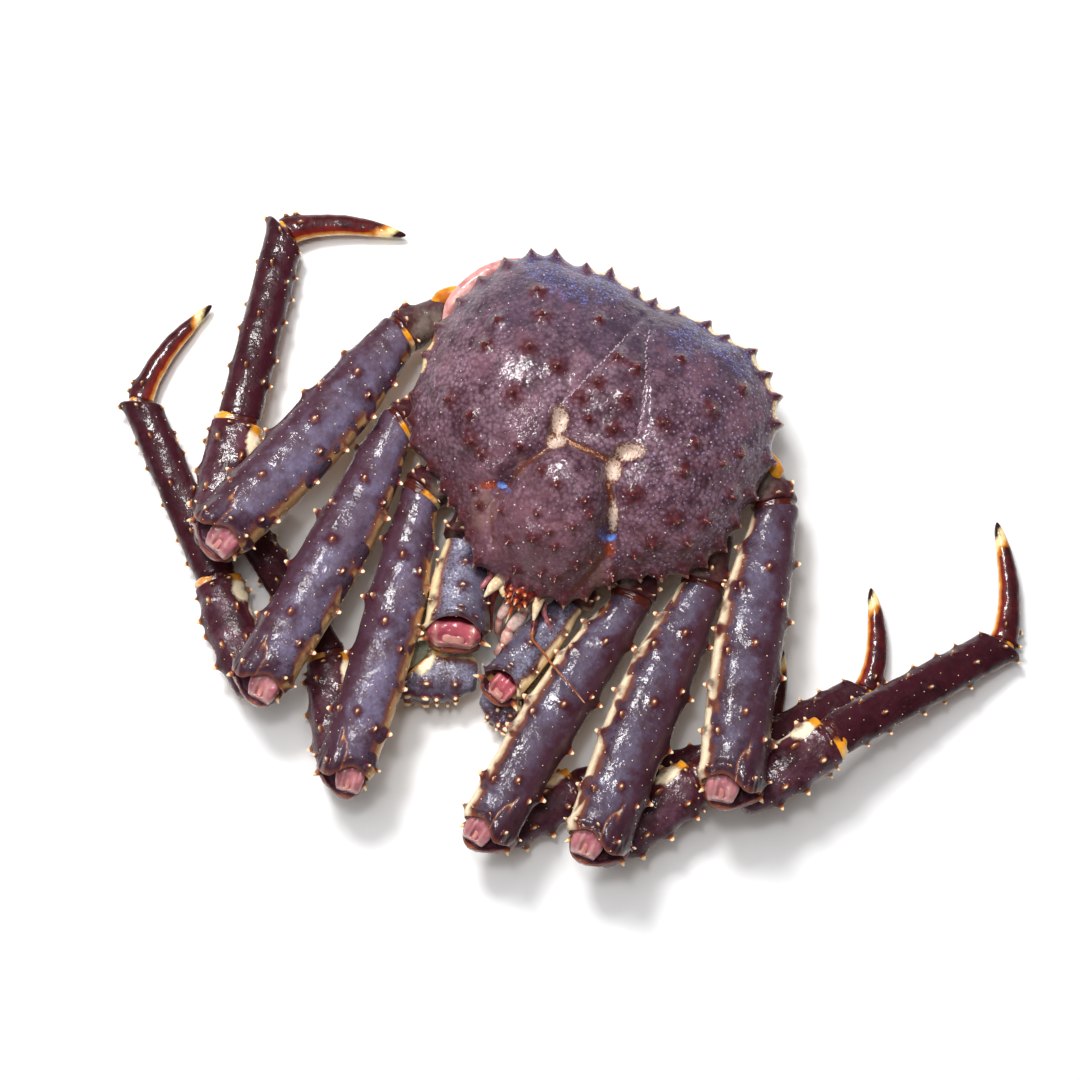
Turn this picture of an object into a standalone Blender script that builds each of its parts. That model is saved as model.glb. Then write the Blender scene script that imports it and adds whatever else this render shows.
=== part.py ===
"""A whole king crab lying on its belly, with the legs folded forwards at the knee.

Every calcified piece of the shell is its own closed solid: the carapace, the body under it,
the folded abdomen, the segments of six walking legs and two claw legs, and the mouthparts.

Frame: metres. +X points to the crab's left, -Y to its front, +Z up. The origin is on the table,
in the middle of the flat belly. Lengths below are millimetres, turned to metres by MM.
"""

import math

import bmesh
import bpy
from mathutils import Matrix, Vector

MM = 0.001
UP = Vector((0, 0, 1))

# ---- Driving sizes (mm) ----

JOINT_GAP = 0.5          # clear space between two neighbouring shell pieces

# Carapace: distance from the centre to the rim by direction, 90 = rear, -90 = front.
RIM_RADII = ((90, 91), (70, 98), (53, 109), (38, 112), (20, 107), (0, 101),
             (-20, 97), (-40, 82), (-55, 80), (-72, 86), (-90, 87))
RIM_Z = 49               # height of the sharp rim over the table
RIM_THICKNESS = 3.5
UNDERSIDE_STEPS = (0.985, 0.61)  # each ring of the underside, as a share of the one before
DOME_HEIGHT = 40         # rise of the carapace from its rim to its middle
DOME_POWER = 2.4
DOME_ROUNDING = 0.68
CARAPACE_CELLS = 20      # cells across the grid that covers the dome
RIM_SPINE_STEP = 3       # one marginal spine for every third cell of the rim

# Raised regions of the carapace: centre x, y, half-width x, y, height.
REGIONS = {
    "gastric": (6, -44, 27, 34, 9),
    "cardiac": (8, 26, 17, 20, 5),
    "branchial_right": (-50, 12, 30, 42, 5),
    "branchial_left": (58, 10, 30, 42, 5),
}
# Grooves between the regions: start x, y, end x, y, depth.
GROOVES = {
    "gastric_rear": (-13, 3, 28, -5, 7),
    "cervical_right": (-13, 3, -46, -46, 6),
    "cervical_left": (28, -5, 44, -52, 6),
    "cardiac_right": (-14, 8, 2, 52, 3),
    "cardiac_left": (28, 4, 14, 62, 3),
}
GROOVE_HALF_WIDTH = 6

# Rows of conical spines on the carapace: first x, y, last x, y, count.
CARAPACE_SPINE_ROWS = (
    (-60, 62, -72, -14, 4), (-43, 49, -52, -26, 4), (-17, 62, -26, -21, 3),
    (74, 57, 84, -16, 4), (60, 42, 68, -28, 4), (33, 60, 42, -22, 3),
    (2, 43, 0, 8, 3), (15, 42, 17, 8, 3),
    (-9, -31, -19, -57, 2), (1, -36, 0, -79, 4), (17, -35, 13, -77, 4), (30, -46, 31, -66, 2),
)
CARAPACE_SPINE_HEIGHT = 4.2
RIM_SPINE_HEIGHT = 5.5
FRONT_OF_RIM_SPINES = -80
ROSTRUM_LENGTH = 9

# Body under the carapace: height, and size as a share of the rim outline.
TRUNK_LEVELS = ((0, 0.36), (5, 0.46), (16, 0.57), (28, 0.66), (38, 0.78), (45, 0.86))
TRUNK_SIDES = 24
BELLY_CENTRE_Y = -4

# Walking legs. Joints in order: coxa end, hip, knee, carpus start, wrist, ankle, tip,
# then the half-width of the merus.
LEGS = {
    "right_rear": ((-101, 41, 28), (-119, 20, 32), (-157, -128, 60), (-163, -135, 34.5),
                   (-181, -63, 25), (-208, 52, 10.5), (-145, 80, 6), 19),
    "right_middle": ((-80, -17, 28), (-98, -27, 29), (-104, -191, 50), (-108, -198, 21),
                     (-155, -147, 12.5), (-240, -73, 10), (-229, -4, 6), 17.6),
    "right_front": ((-60, -44, 28), (-70, -57, 28), (-41, -217, 46), (-44, -224, 19),
                    (-80, -160, 13), (-160, -108, 9.5), (-164, -57, 7), 16.3),
    "left_rear": ((94, 33, 28), (113, 16, 32), (151, -138, 58.5), (159, -143, 35),
                  (190, -90, 41.5), (259, 2, 10.5), (230, 66, 6), 18.8),
    "left_middle": ((88, -15, 28), (94, -41, 30), (98, -195, 52), (101, -201, 24),
                    (134, -139, 28), (200, -54, 10), (180, 2, 6), 18.5),
    "left_front": ((56, -40, 28), (61.5, -63, 28), (42, -213, 46), (44, -218, 17.5),
                   (76, -169, 9.5), (156, -111, 7.4), (149, -51, 5.5), 16.5),
}
# Claw legs. Joints: coxa end, hip, knee, carpus start, carpus end, palm end, finger tip,
# then the half-width of the merus.
CLAWS = {
    "right": ((-37, -58, 26), (-36.5, -73, 28), (-19, -123, 42), (2, -139, 18),
              (-34, -152, 17), (-48, -110, 10), (-60, -76, 8), 14),
    "left": ((29, -60, 26), (31, -79, 27), (15.5, -138, 38), (7, -147, 15),
             (34, -146, 14), (40, -108, 9.5), (44, -78, 8), 11.6),
}
COXA_RADIUS = 11.5
MERUS_BEND = 3           # bow of a merus towards the body
CARPUS_HALF_WIDTH = 14.5
PROPODUS_HALF_WIDTH = 12.2
# Share of the length, then width and height as shares of the largest.
CARPUS_PROFILE = ((0, 0.45, 0.6), (0.07, 0.68, 0.88), (0.25, 0.86, 0.98), (0.5, 1, 1),
                  (0.78, 1.02, 0.97), (0.95, 0.96, 0.9), (1, 0.86, 0.8))
DACTYL_HALF_WIDTH = 6.8
DACTYL_BOW = 5

# Rows of spines along a merus: degrees round from its body-side edge, count.
MERUS_SPINE_ROWS = ((13, 6), (64, 4), (103, 4), (142, 4), (180, 5))
CARPUS_SPINE_ROWS = ((0, 3), (51, 2), (103, 2))
CLAW_CARPUS_SPINE_ROWS = ((0, 4), (51, 3))
PROPODUS_SPINE_ROWS = ((0, 3), (72, 2), (144, 3), (180, 3))
CLAW_MERUS_SPINE_ROWS = ((64, 3), (103, 3), (142, 2))
LEG_SPINE_HEIGHT = 3.8


# ---- Small helpers ----

def mm(values):
    """A point given in millimetres, as a vector in metres."""
    return Vector(values) * MM


def smooth_table(table, x):
    """Smooth curve through (position, value) pairs, level at both ends."""
    points = sorted(table)
    for (x0, y0), (x1, y1) in zip(points, points[1:]):
        if x <= x1:
            share = (x - x0) / (x1 - x0)
            share = max(0.0, share)
            return y0 + (y1 - y0) * share * share * (3 - 2 * share)
    return points[-1][1]


def signed_power(value, power):
    """Power that keeps the sign, for rounded-square cross-sections."""
    return math.copysign(abs(value) ** power, value)


def new_object(name, bm, colour, roughness, matrix=None):
    """Turn a bmesh into a named object with its own material, outward faces and smooth shading."""
    bmesh.ops.recalc_face_normals(bm, faces=bm.faces[:])
    mesh = bpy.data.meshes.new(name)
    bm.to_mesh(mesh)
    bm.free()
    mesh.shade_smooth()
    mesh.set_sharp_from_angle(angle=math.radians(40))
    obj = bpy.data.objects.new(name, mesh)
    bpy.context.collection.objects.link(obj)
    if matrix is not None:
        obj.matrix_world = matrix
    material = bpy.data.materials.new(f"{name}_finish")
    material.use_nodes = True
    shader = material.node_tree.nodes["Principled BSDF"]
    shader.inputs["Base Color"].default_value = (*colour, 1)
    shader.inputs["Roughness"].default_value = roughness
    shader.inputs["Metallic"].default_value = 0
    mesh.materials.append(material)
    return obj


def loft(rings):
    """Closed bmesh through rings of points, capped at the first and the last."""
    bm = bmesh.new()
    loops = [[bm.verts.new(point) for point in ring] for ring in rings]
    sides = len(loops[0])
    for low, high in zip(loops, loops[1:]):
        for i in range(sides):
            j = (i + 1) % sides
            bm.faces.new((low[i], low[j], high[j], high[i]))
    bm.faces.new(loops[0][::-1])
    bm.faces.new(loops[-1])
    return bm


def raise_spine(bm, face, inset, height, direction=None):
    """Draw one face in and pull its middle out to a point: a conical spine."""
    bmesh.ops.inset_individual(bm, faces=[face], thickness=inset, use_even_offset=True)
    normal = face.normal.copy()
    top = bmesh.ops.poke(bm, faces=[face])["verts"][0]
    top.co += (direction or normal) * height


def mitre(previous, following):
    """Normal of the plane on which two neighbouring segments meet."""
    return (previous.normalized() + following.normalized()).normalized()


# ---- A limb segment ----

class Segment:
    """A tube of shell between two joints, in its own frame: X along, Y sideways, Z up.

    start, end: joint positions in metres. The start and end planes face along the given
    normals, or straight along the segment.
    """

    def __init__(self, start, end, start_normal=None, end_normal=None, gap=JOINT_GAP * MM):
        self.along = (end - start).normalized()
        self.side = UP.cross(self.along).normalized()
        self.top = self.along.cross(self.side)
        self.length = (end - start).length
        self.start_slope = self.slope(start_normal)
        self.end_slope = self.slope(end_normal)
        self.first = gap / 2 if start_normal else 0.0
        self.last = self.length - (gap / 2 if end_normal else 0.0)
        self.matrix = Matrix((self.along, self.side, self.top)).transposed().to_4x4()
        self.matrix.translation = start

    def slope(self, normal):
        """How far along a point moves for each step sideways and up on a plane."""
        if normal is None:
            return 0.0, 0.0
        facing = normal.dot(self.along)
        return -normal.dot(self.side) / facing, -normal.dot(self.top) / facing

    def ring(self, share, half_width, half_height, sides, shift=(0, 0), squareness=2.3):
        """One cross-section, at a share of the length, slanted near the ends."""
        near_start = max(0.0, 1 - share / 0.3)
        near_end = max(0.0, 1 - (1 - share) / 0.3)
        points = []
        for i in range(sides):
            turn = 2 * math.pi * i / sides
            y = half_width * signed_power(math.cos(turn), 2 / squareness) + shift[0]
            z = half_height * signed_power(math.sin(turn), 2 / squareness) + shift[1]
            slant = near_start * (self.start_slope[0] * y + self.start_slope[1] * z)
            slant += near_end * (self.end_slope[0] * y + self.end_slope[1] * z)
            x = self.first + (self.last - self.first) * share + slant
            points.append(Vector((x, y, z)))
        return points

    def tube(self, stations, sides, squareness=2.3):
        """Loft through stations of (share, half width, half height, shift y, shift z) in mm."""
        rings = []
        for share, wide, high, shift_y, shift_z in stations:
            ring = self.ring(share, wide * MM, high * MM, sides, (shift_y * MM, shift_z * MM),
                             squareness)
            rings.append(ring)
        return loft(rings)


def add_rows(bm, segment, rows, side_sign, inset, height, spread=(0.12, 0.9)):
    """Spines in rows along a segment; each row runs at one angle round the tube."""
    chosen = []
    for row, (degrees, count) in enumerate(rows):
        turn = math.radians(degrees)
        outward = Vector((0, side_sign * math.cos(turn), math.sin(turn)))
        for i in range(count):
            share = spread[0] + (spread[1] - spread[0]) * (i + 0.5 + 0.25 * (row % 2)) / count
            along = segment.length * min(share, 0.93)
            best = None
            for face in bm.faces:
                if len(face.verts) != 4 or face in chosen or abs(face.normal.x) > 0.5:
                    continue
                centre = face.calc_center_median()
                facing = face.normal.dot(outward)
                distance = abs(centre.x - along) + (1 - facing) * 0.08
                if best is None or distance < best[0]:
                    best = (distance, face)
            chosen.append(best[1])
    for face in chosen:
        raise_spine(bm, face, inset * MM, height * MM)


# ---- Shell colours (linear) and gloss ----

SHELL_BROWN = (0.105, 0.055, 0.070)
SHELL_SLATE = (0.095, 0.070, 0.110)
SHELL_MAROON = (0.050, 0.012, 0.018)
MEMBRANE_CREAM = (0.55, 0.38, 0.22)
FLESH_PINK = (0.55, 0.12, 0.14)
MOUTH_ORANGE = (0.45, 0.08, 0.03)
WET = 0.28


# ---- Carapace and body ----

def rim_radius(angle):
    """Distance from the centre to the rim in a direction (radians), in mm."""
    degrees = math.degrees(angle) % 360
    if degrees > 180:
        degrees -= 360
    if degrees > 90:
        degrees = 180 - degrees
    if degrees < -90:
        degrees = -180 - degrees
    return smooth_table(RIM_RADII, degrees)


def groove_distance(x, y, groove):
    """Distance from a point to the line of a groove, in mm."""
    start = Vector(groove[:2])
    line = Vector(groove[2:4]) - start
    offset = Vector((x, y)) - start
    share = min(1.0, max(0.0, offset.dot(line) / line.length_squared))
    return (offset - line * share).length


def carapace_height(x, y):
    """Height of the carapace's upper face over the table, in mm."""
    reach = math.hypot(x, y) / rim_radius(math.atan2(y, x))
    inside = max(0.0, 1 - reach ** DOME_POWER)
    height = RIM_Z + DOME_HEIGHT * inside ** DOME_ROUNDING
    fade = max(0.0, 1 - reach ** 6)
    for centre_x, centre_y, half_x, half_y, rise in REGIONS.values():
        bump = ((x - centre_x) / half_x) ** 2 + ((y - centre_y) / half_y) ** 2
        height += rise * fade * math.exp(-bump)
    for groove in GROOVES.values():
        share = groove_distance(x, y, groove) / GROOVE_HALF_WIDTH
        height -= groove[4] * fade * math.exp(-share ** 2)
    return height


def outline(scale, z, sides):
    """Ring of points on the rim's outline, scaled, at one height (mm)."""
    points = []
    for i in range(sides):
        angle = 2 * math.pi * (i + 0.5) / sides
        radius = rim_radius(angle) * scale
        points.append(mm((radius * math.cos(angle), radius * math.sin(angle), z)))
    return points


def dome_point(across, back):
    """Point of the dome for a place in the square from -1 to 1, its edge on the rim."""
    u = across * math.sqrt(1 - back * back / 2)
    v = back * math.sqrt(1 - across * across / 2)
    reach = math.hypot(u, v)
    reach = 1.2 * reach - 0.2 * reach ** 3
    angle = math.atan2(v, u)
    radius = reach * rim_radius(angle)
    x = radius * math.cos(angle)
    y = radius * math.sin(angle)
    return mm((x, y, carapace_height(x, y)))


def dome_grid(bm):
    """Faces of the dome, and its rim vertices in order."""
    cells = CARAPACE_CELLS
    grid = []
    for j in range(cells + 1):
        row = [bm.verts.new(dome_point(2 * i / cells - 1, 2 * j / cells - 1)) for i in range(cells + 1)]
        grid.append(row)
    for low, high in zip(grid, grid[1:]):
        for i in range(cells):
            bm.faces.new((low[i], low[i + 1], high[i + 1], high[i]))
    rim = grid[0][:-1]
    rim += [row[-1] for row in grid[:-1]]
    rim += grid[-1][:0:-1]
    rim += [row[0] for row in grid[:0:-1]]
    return rim


def carapace():
    """The domed back shell with its regions, grooves, rows of spines and spiny rim."""
    bm = bmesh.new()
    upper = dome_grid(bm)
    for share in UNDERSIDE_STEPS:
        lower = []
        for vert in upper:
            place = Vector((vert.co.x * share, vert.co.y * share, (RIM_Z - RIM_THICKNESS) * MM))
            lower.append(bm.verts.new(place))
        for i in range(len(upper)):
            j = (i + 1) % len(upper)
            bm.faces.new((upper[j], upper[i], lower[i], lower[j]))
        upper = lower
    bm.faces.new(upper[::-1])
    bm.normal_update()
    chosen = []
    for x0, y0, x1, y1, count in CARAPACE_SPINE_ROWS:
        for i in range(count):
            share = i / (count - 1)
            place = mm((x0 + (x1 - x0) * share, y0 + (y1 - y0) * share, 0))
            upward = [f for f in bm.faces if f.normal.z > 0.2 and f not in chosen]
            chosen.append(min(upward, key=lambda f: (f.calc_center_median().xy - place.xy).length))
    rim = [f for f in bm.faces if f.calc_center_median().z < RIM_Z * MM and abs(f.normal.z) < 0.9]
    rim.sort(key=lambda f: math.atan2(f.calc_center_median().y, f.calc_center_median().x))
    front = [f for f in rim if f.calc_center_median().y < FRONT_OF_RIM_SPINES * MM]
    rostrum = min(front, key=lambda f: abs(f.calc_center_median().x))
    marginal = [f for f in rim[::RIM_SPINE_STEP] if f not in front]
    for face in chosen:
        raise_spine(bm, face, 2 * MM, CARAPACE_SPINE_HEIGHT * MM)
    for face in marginal:
        outward = Vector((*face.calc_center_median().xy.normalized(), 0.25))
        raise_spine(bm, face, 0.8 * MM, RIM_SPINE_HEIGHT * MM, outward)
    raise_spine(bm, rostrum, 0.3 * MM, ROSTRUM_LENGTH * MM, Vector((0, -1, 0.15)))
    return new_object("carapace", bm, SHELL_BROWN, WET)


def coxa(coxa_end, hip):
    """The leg's root on the body, up to the plane where the ischium begins."""
    inner = Vector((coxa_end.x * 0.6, coxa_end.y * 0.6, coxa_end.z))
    plane = mitre(coxa_end - inner, hip - coxa_end)
    segment = Segment(inner, coxa_end, end_normal=plane)
    radius = COXA_RADIUS
    stations = [(0, radius * 0.8, radius * 0.8, 0, 0), (0.5, radius, radius, 0, 0),
                (0.94, radius * 1.08, radius, 0, 0), (1, radius, radius * 0.93, 0, 0)]
    bm = segment.tube(stations, 10)
    bm.transform(segment.matrix)
    return bm


def body():
    """The trunk with its flat belly, and the eight leg roots fused to it."""
    rings = []
    for z, scale in TRUNK_LEVELS:
        ring = outline(scale, min(z, RIM_Z - RIM_THICKNESS - JOINT_GAP), TRUNK_SIDES)
        for point in ring:
            point.y += BELLY_CENTRE_Y * MM * (1 - z / TRUNK_LEVELS[-1][0])
        rings.append(ring)
    trunk = new_object("body", loft(rings), MEMBRANE_CREAM, 0.4)
    roots = bpy.data.collections.new("leg_roots")
    bpy.context.scene.collection.children.link(roots)
    for joints in (*LEGS.values(), *CLAWS.values()):
        bm = coxa(mm(joints[0]), mm(joints[1]))
        bmesh.ops.recalc_face_normals(bm, faces=bm.faces[:])
        mesh = bpy.data.meshes.new("leg_root")
        bm.to_mesh(mesh)
        bm.free()
        roots.objects.link(bpy.data.objects.new("leg_root", mesh))
    fuse(trunk, roots, "UNION")
    return trunk


def fuse(obj, tools, operation):
    """Boolean an object with a collection of closed tools, apply it, and remove the tools."""
    modifier = obj.modifiers.new("fuse", "BOOLEAN")
    modifier.operand_type = "COLLECTION"
    modifier.collection = tools
    modifier.operation = operation
    modifier.solver = "MANIFOLD"
    bpy.context.view_layer.update()
    graph = bpy.context.evaluated_depsgraph_get()
    mesh = bpy.data.meshes.new_from_object(obj.evaluated_get(graph))
    obj.modifiers.clear()
    obj.data = mesh
    for tool in list(tools.objects):
        bpy.data.objects.remove(tool, do_unlink=True)
    bpy.data.collections.remove(tools)


def abdomen(trunk):
    """The tail folded under the rear of the body, cut to sit just off the trunk."""
    bm = bmesh.new()
    bmesh.ops.create_uvsphere(bm, u_segments=20, v_segments=10, radius=1)
    bmesh.ops.scale(bm, verts=bm.verts[:], vec=mm((46, 32, 21)))
    bmesh.ops.translate(bm, verts=bm.verts[:], vec=mm((0, 50, 23)))
    obj = new_object("abdomen", bm, MEMBRANE_CREAM, 0.4)
    cutters = bpy.data.collections.new("trunk_space")
    bpy.context.scene.collection.children.link(cutters)
    cutter = trunk.copy()
    cutter.data = trunk.data.copy()
    for vertex in cutter.data.vertices:
        vertex.co += vertex.normal * JOINT_GAP * MM
    cutters.objects.link(cutter)
    fuse(obj, cutters, "DIFFERENCE")
    keep_largest(obj)
    return obj


def keep_largest(obj):
    """Drop every loose scrap of a mesh but the largest."""
    bm = bmesh.new()
    bm.from_mesh(obj.data)
    left = set(bm.verts)
    groups = []
    while left:
        group = {left.pop()}
        edge_of_group = list(group)
        while edge_of_group:
            vert = edge_of_group.pop()
            for edge in vert.link_edges:
                other = edge.other_vert(vert)
                if other in left:
                    left.discard(other)
                    group.add(other)
                    edge_of_group.append(other)
        groups.append(group)
    groups.sort(key=len)
    for group in groups[:-1]:
        bmesh.ops.delete(bm, geom=list(group), context="VERTS")
    bm.to_mesh(obj.data)
    bm.free()


# ---- Walking legs ----

def ischium(name, coxa_end, hip, before, after):
    """The short segment at the hip, under the carapace's rim."""
    segment = Segment(coxa_end, hip, mitre(before, hip - coxa_end), mitre(hip - coxa_end, after))
    wide = COXA_RADIUS * 1.04
    stations = [(0, wide * 0.92, wide * 0.92, 0, 0), (0.15, wide, wide, 0, 0),
                (0.85, wide * 1.03, wide, 0, 0), (1, wide * 0.97, wide * 0.94, 0, 0)]
    bm = segment.tube(stations, 10)
    return new_object(name, bm, SHELL_SLATE, WET, segment.matrix)


def merus(name, hip, knee, before, half_width, bend, spine_rows, side_sign):
    """The long thick segment: narrow at the hip, full in the middle, lipped at the knee."""
    segment = Segment(hip, knee, start_normal=mitre(before, knee - hip))
    half_height = half_width * 0.76
    stations = []
    for share in (0, 0.03, 0.13, 0.26, 0.39, 0.52, 0.65, 0.77, 0.88, 0.96, 1):
        wide = half_width * (0.64 + 0.36 * math.sin(math.pi / 2 * min(1, share / 0.5)))
        wide *= 1 - 0.1 * max(0.0, share - 0.6) / 0.4
        if share in (0, 1):
            wide *= 0.93
        high = half_height * wide / half_width
        high = max(high, half_height * 0.8)
        stations.append((share, wide, high, bend * math.sin(math.pi * share), 0))
    bm = segment.tube(stations, 14)
    bm.normal_update()
    add_rows(bm, segment, spine_rows, side_sign, 1.7, LEG_SPINE_HEIGHT)
    new_object(name, bm, SHELL_SLATE, WET, segment.matrix)
    return segment


def carpus(name, start, wrist, after, half_width, spine_rows, side_sign):
    """The segment folded back under the knee, widest near the wrist."""
    segment = Segment(start, wrist, end_normal=mitre(wrist - start, after))
    high = half_width * 0.76
    stations = []
    for share, wide, tall in CARPUS_PROFILE:
        stations.append((share, half_width * wide, high * tall, 0, 0))
    bm = segment.tube(stations, 12)
    bm.normal_update()
    add_rows(bm, segment, spine_rows, side_sign, 1.8, LEG_SPINE_HEIGHT, (0.25, 0.9))
    new_object(name, bm, SHELL_MAROON, WET, segment.matrix)


def propodus(name, wrist, ankle, before, after, half_width, side_sign):
    """The long slender segment, cut obliquely where the last one turns off."""
    segment = Segment(wrist, ankle, mitre(before, ankle - wrist), mitre(ankle - wrist, after))
    high = half_width * 0.74
    stations = []
    for share in (0, 0.04, 0.2, 0.36, 0.52, 0.68, 0.83, 0.95, 1):
        wide = half_width * (1 - 0.08 * share)
        tall = high * (1 - 0.12 * share)
        if share in (0, 1):
            wide *= 0.88
            tall *= 0.88
        stations.append((share, wide, tall, 0, 0))
    bm = segment.tube(stations, 10, 2.2)
    bm.normal_update()
    add_rows(bm, segment, PROPODUS_SPINE_ROWS, side_sign, 1.7, LEG_SPINE_HEIGHT * 0.8, (0.1, 0.86))
    new_object(name, bm, SHELL_MAROON, WET, segment.matrix)


def dactyl(name, ankle, tip, before, half_width, bow):
    """The last segment, a curved and pointed spike."""
    segment = Segment(ankle, tip, start_normal=mitre(before, tip - ankle))
    stations = []
    for share in (0, 0.08, 0.28, 0.48, 0.66, 0.82, 0.94, 1):
        taper = 1 - 0.25 * share - 0.62 * share ** 5
        if share == 0:
            taper = 0.88
        shift = bow * math.sin(math.pi * share ** 0.85)
        stations.append((share, half_width * taper, half_width * 0.8 * taper, shift, 0))
    bm = segment.tube(stations, 8, 2.0)
    new_object(name, bm, SHELL_MAROON, WET, segment.matrix)


def knee_flesh(name, merus_segment, knee, half_width, reach, floor_z):
    """The flesh that shows at the folded knee: flat on the merus's end, low side on the carpus."""
    bm = bmesh.new()
    bmesh.ops.create_uvsphere(bm, u_segments=10, v_segments=6, radius=1)
    bmesh.ops.scale(bm, verts=bm.verts[:], vec=mm((reach, half_width, 15)))
    turn = merus_segment.matrix.to_3x3().to_4x4()
    bmesh.ops.transform(bm, matrix=turn, verts=bm.verts[:])
    bmesh.ops.translate(bm, verts=bm.verts[:], vec=knee - UP * 3 * MM)
    cuts = ((knee + merus_segment.along * JOINT_GAP * MM, -merus_segment.along),
            (mm((0, 0, floor_z)), -UP))
    for place, away in cuts:
        geometry = bm.verts[:] + bm.edges[:] + bm.faces[:]
        cut = bmesh.ops.bisect_plane(bm, geom=geometry, plane_co=place, plane_no=away, clear_outer=True)
        edges = [g for g in cut["geom_cut"] if isinstance(g, bmesh.types.BMEdge)]
        bmesh.ops.edgenet_fill(bm, edges=edges)
    new_object(name, bm, FLESH_PINK, 0.35)


def walking_leg(name, joints):
    """One walking leg: ischium, merus, carpus, propodus, dactyl, and the flesh at its knee."""
    coxa_end, hip, knee, fold, wrist, ankle, tip = [mm(joint) for joint in joints[:7]]
    half_width = joints[7]
    side_sign = 1 if name.startswith("right") else -1
    root = Vector((coxa_end.x, coxa_end.y, 0))
    slim = half_width / LEGS["right_rear"][7]
    ischium(f"leg_{name}_ischium", coxa_end, hip, root, knee - hip)
    shank = merus(f"leg_{name}_merus", hip, knee, hip - coxa_end, half_width,
                  side_sign * MERUS_BEND, MERUS_SPINE_ROWS, side_sign)
    carpus(f"leg_{name}_carpus", fold, wrist, ankle - wrist, CARPUS_HALF_WIDTH * slim,
           CARPUS_SPINE_ROWS, side_sign)
    propodus(f"leg_{name}_propodus", wrist, ankle, wrist - fold, tip - ankle,
             PROPODUS_HALF_WIDTH * slim, side_sign)
    dactyl(f"leg_{name}_dactyl", ankle, tip, ankle - wrist, DACTYL_HALF_WIDTH * slim,
           side_sign * DACTYL_BOW)
    carpus_top = fold.z / MM + CARPUS_HALF_WIDTH * slim * 0.76
    knee_flesh(f"leg_{name}_flesh", shank, knee, half_width * 0.5, 10, carpus_top + JOINT_GAP)


# ---- Claw legs ----

def palm(name, start, end, before, after, half_width):
    """The swollen hand of a claw, folded back under its arm."""
    segment = Segment(start, end, mitre(before, end - start), mitre(end - start, after))
    high = half_width * 0.68
    stations = [(0, half_width * 0.75, high * 0.8, 0, 0), (0.15, half_width, high, 0, 0),
                (0.5, half_width * 1.05, high, 0, 0), (0.85, half_width * 0.85, high * 0.85, 0, 0),
                (1, half_width * 0.6, high * 0.6, 0, 0)]
    bm = segment.tube(stations, 12)
    new_object(name, bm, MEMBRANE_CREAM, WET, segment.matrix)


def claw_leg(name, joints):
    """One claw leg: ischium, merus, carpus, palm and finger, and the flesh at its elbow."""
    coxa_end, hip, knee, fold, wrist, knuckle, tip = [mm(joint) for joint in joints[:7]]
    half_width = joints[7]
    side_sign = 1 if name == "right" else -1
    ischium(f"claw_{name}_ischium", coxa_end, hip, Vector((coxa_end.x, coxa_end.y, 0)), knee - hip)
    arm = merus(f"claw_{name}_merus", hip, knee, hip - coxa_end, half_width, 0,
                CLAW_MERUS_SPINE_ROWS, side_sign)
    carpus(f"claw_{name}_carpus", fold, wrist, knuckle - wrist, half_width * 0.88,
           CLAW_CARPUS_SPINE_ROWS, side_sign)
    palm(f"claw_{name}_palm", wrist, knuckle, wrist - fold, tip - knuckle, half_width * 0.86)
    dactyl(f"claw_{name}_finger", knuckle, tip, knuckle - wrist, half_width * 0.45, side_sign * 2)
    carpus_top = max(fold.z, wrist.z) / MM + half_width * 0.9 * 0.76
    knee_flesh(f"claw_{name}_flesh", arm, knee, half_width * 0.85, 9, carpus_top + JOINT_GAP)


# ---- Mouthparts ----

def whip(name, points, radii, sides, colour):
    """A jointed feeler or mouthpart: a tube through points (mm) with a radius at each."""
    path = [mm(point) for point in points]
    rings = []
    for i, place in enumerate(path):
        ahead = (path[min(i + 1, len(path) - 1)] - path[max(i - 1, 0)]).normalized()
        side = UP.cross(ahead).normalized()
        top = ahead.cross(side)
        ring = []
        for k in range(sides):
            turn = 2 * math.pi * k / sides
            ring.append(place + (side * math.cos(turn) + top * math.sin(turn)) * radii[i] * MM)
        rings.append(ring)
    return new_object(name, loft(rings), colour, WET)


def mouthparts():
    """Antennae, their cream scales, and the last pair of jaws' legs, under the front rim."""
    whip("antenna_left", ((10, -76, 40), (10, -88, 40), (11, -100, 41), (14, -107, 46), (24, -113, 53),
                          (38, -120, 58), (50, -126, 61), (60, -131, 62)),
         (2.4, 2.8, 2.4, 1.4, 0.9, 0.8, 0.7, 0.5), 6, SHELL_MAROON)
    whip("antenna_right", ((-12, -78, 37), (-12, -90, 36), (-10, -100, 33), (-9, -107, 28),
                           (-9, -113, 23)),
         (2.4, 2.8, 2, 1.1, 0.5), 6, SHELL_MAROON)
    whip("scale_left", ((16, -80, 42.5), (16, -88, 42.5), (16, -95, 42.5), (15, -102, 42)),
         (2, 2.3, 1.6, 0.4), 6, MEMBRANE_CREAM)
    whip("scale_right", ((-14, -78, 43), (-14, -86, 43), (-14, -91, 43), (-13.5, -96, 42.6)),
         (1.8, 2.1, 1.5, 0.4), 6, MEMBRANE_CREAM)
    whip("maxilliped_left", ((6, -62, 27), (6, -82, 30), (7, -99, 31), (6, -111, 24), (2, -119, 14)),
         (4, 4.8, 4.4, 3.8, 2), 8, FLESH_PINK)
    whip("maxilliped_right", ((-5, -62, 27), (-4.5, -82, 30), (-3.5, -97, 29), (-3, -107, 21),
                              (-5, -112, 12)),
         (4, 4.2, 4, 3.6, 2), 8, FLESH_PINK)


# ---- The whole crab ----

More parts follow.
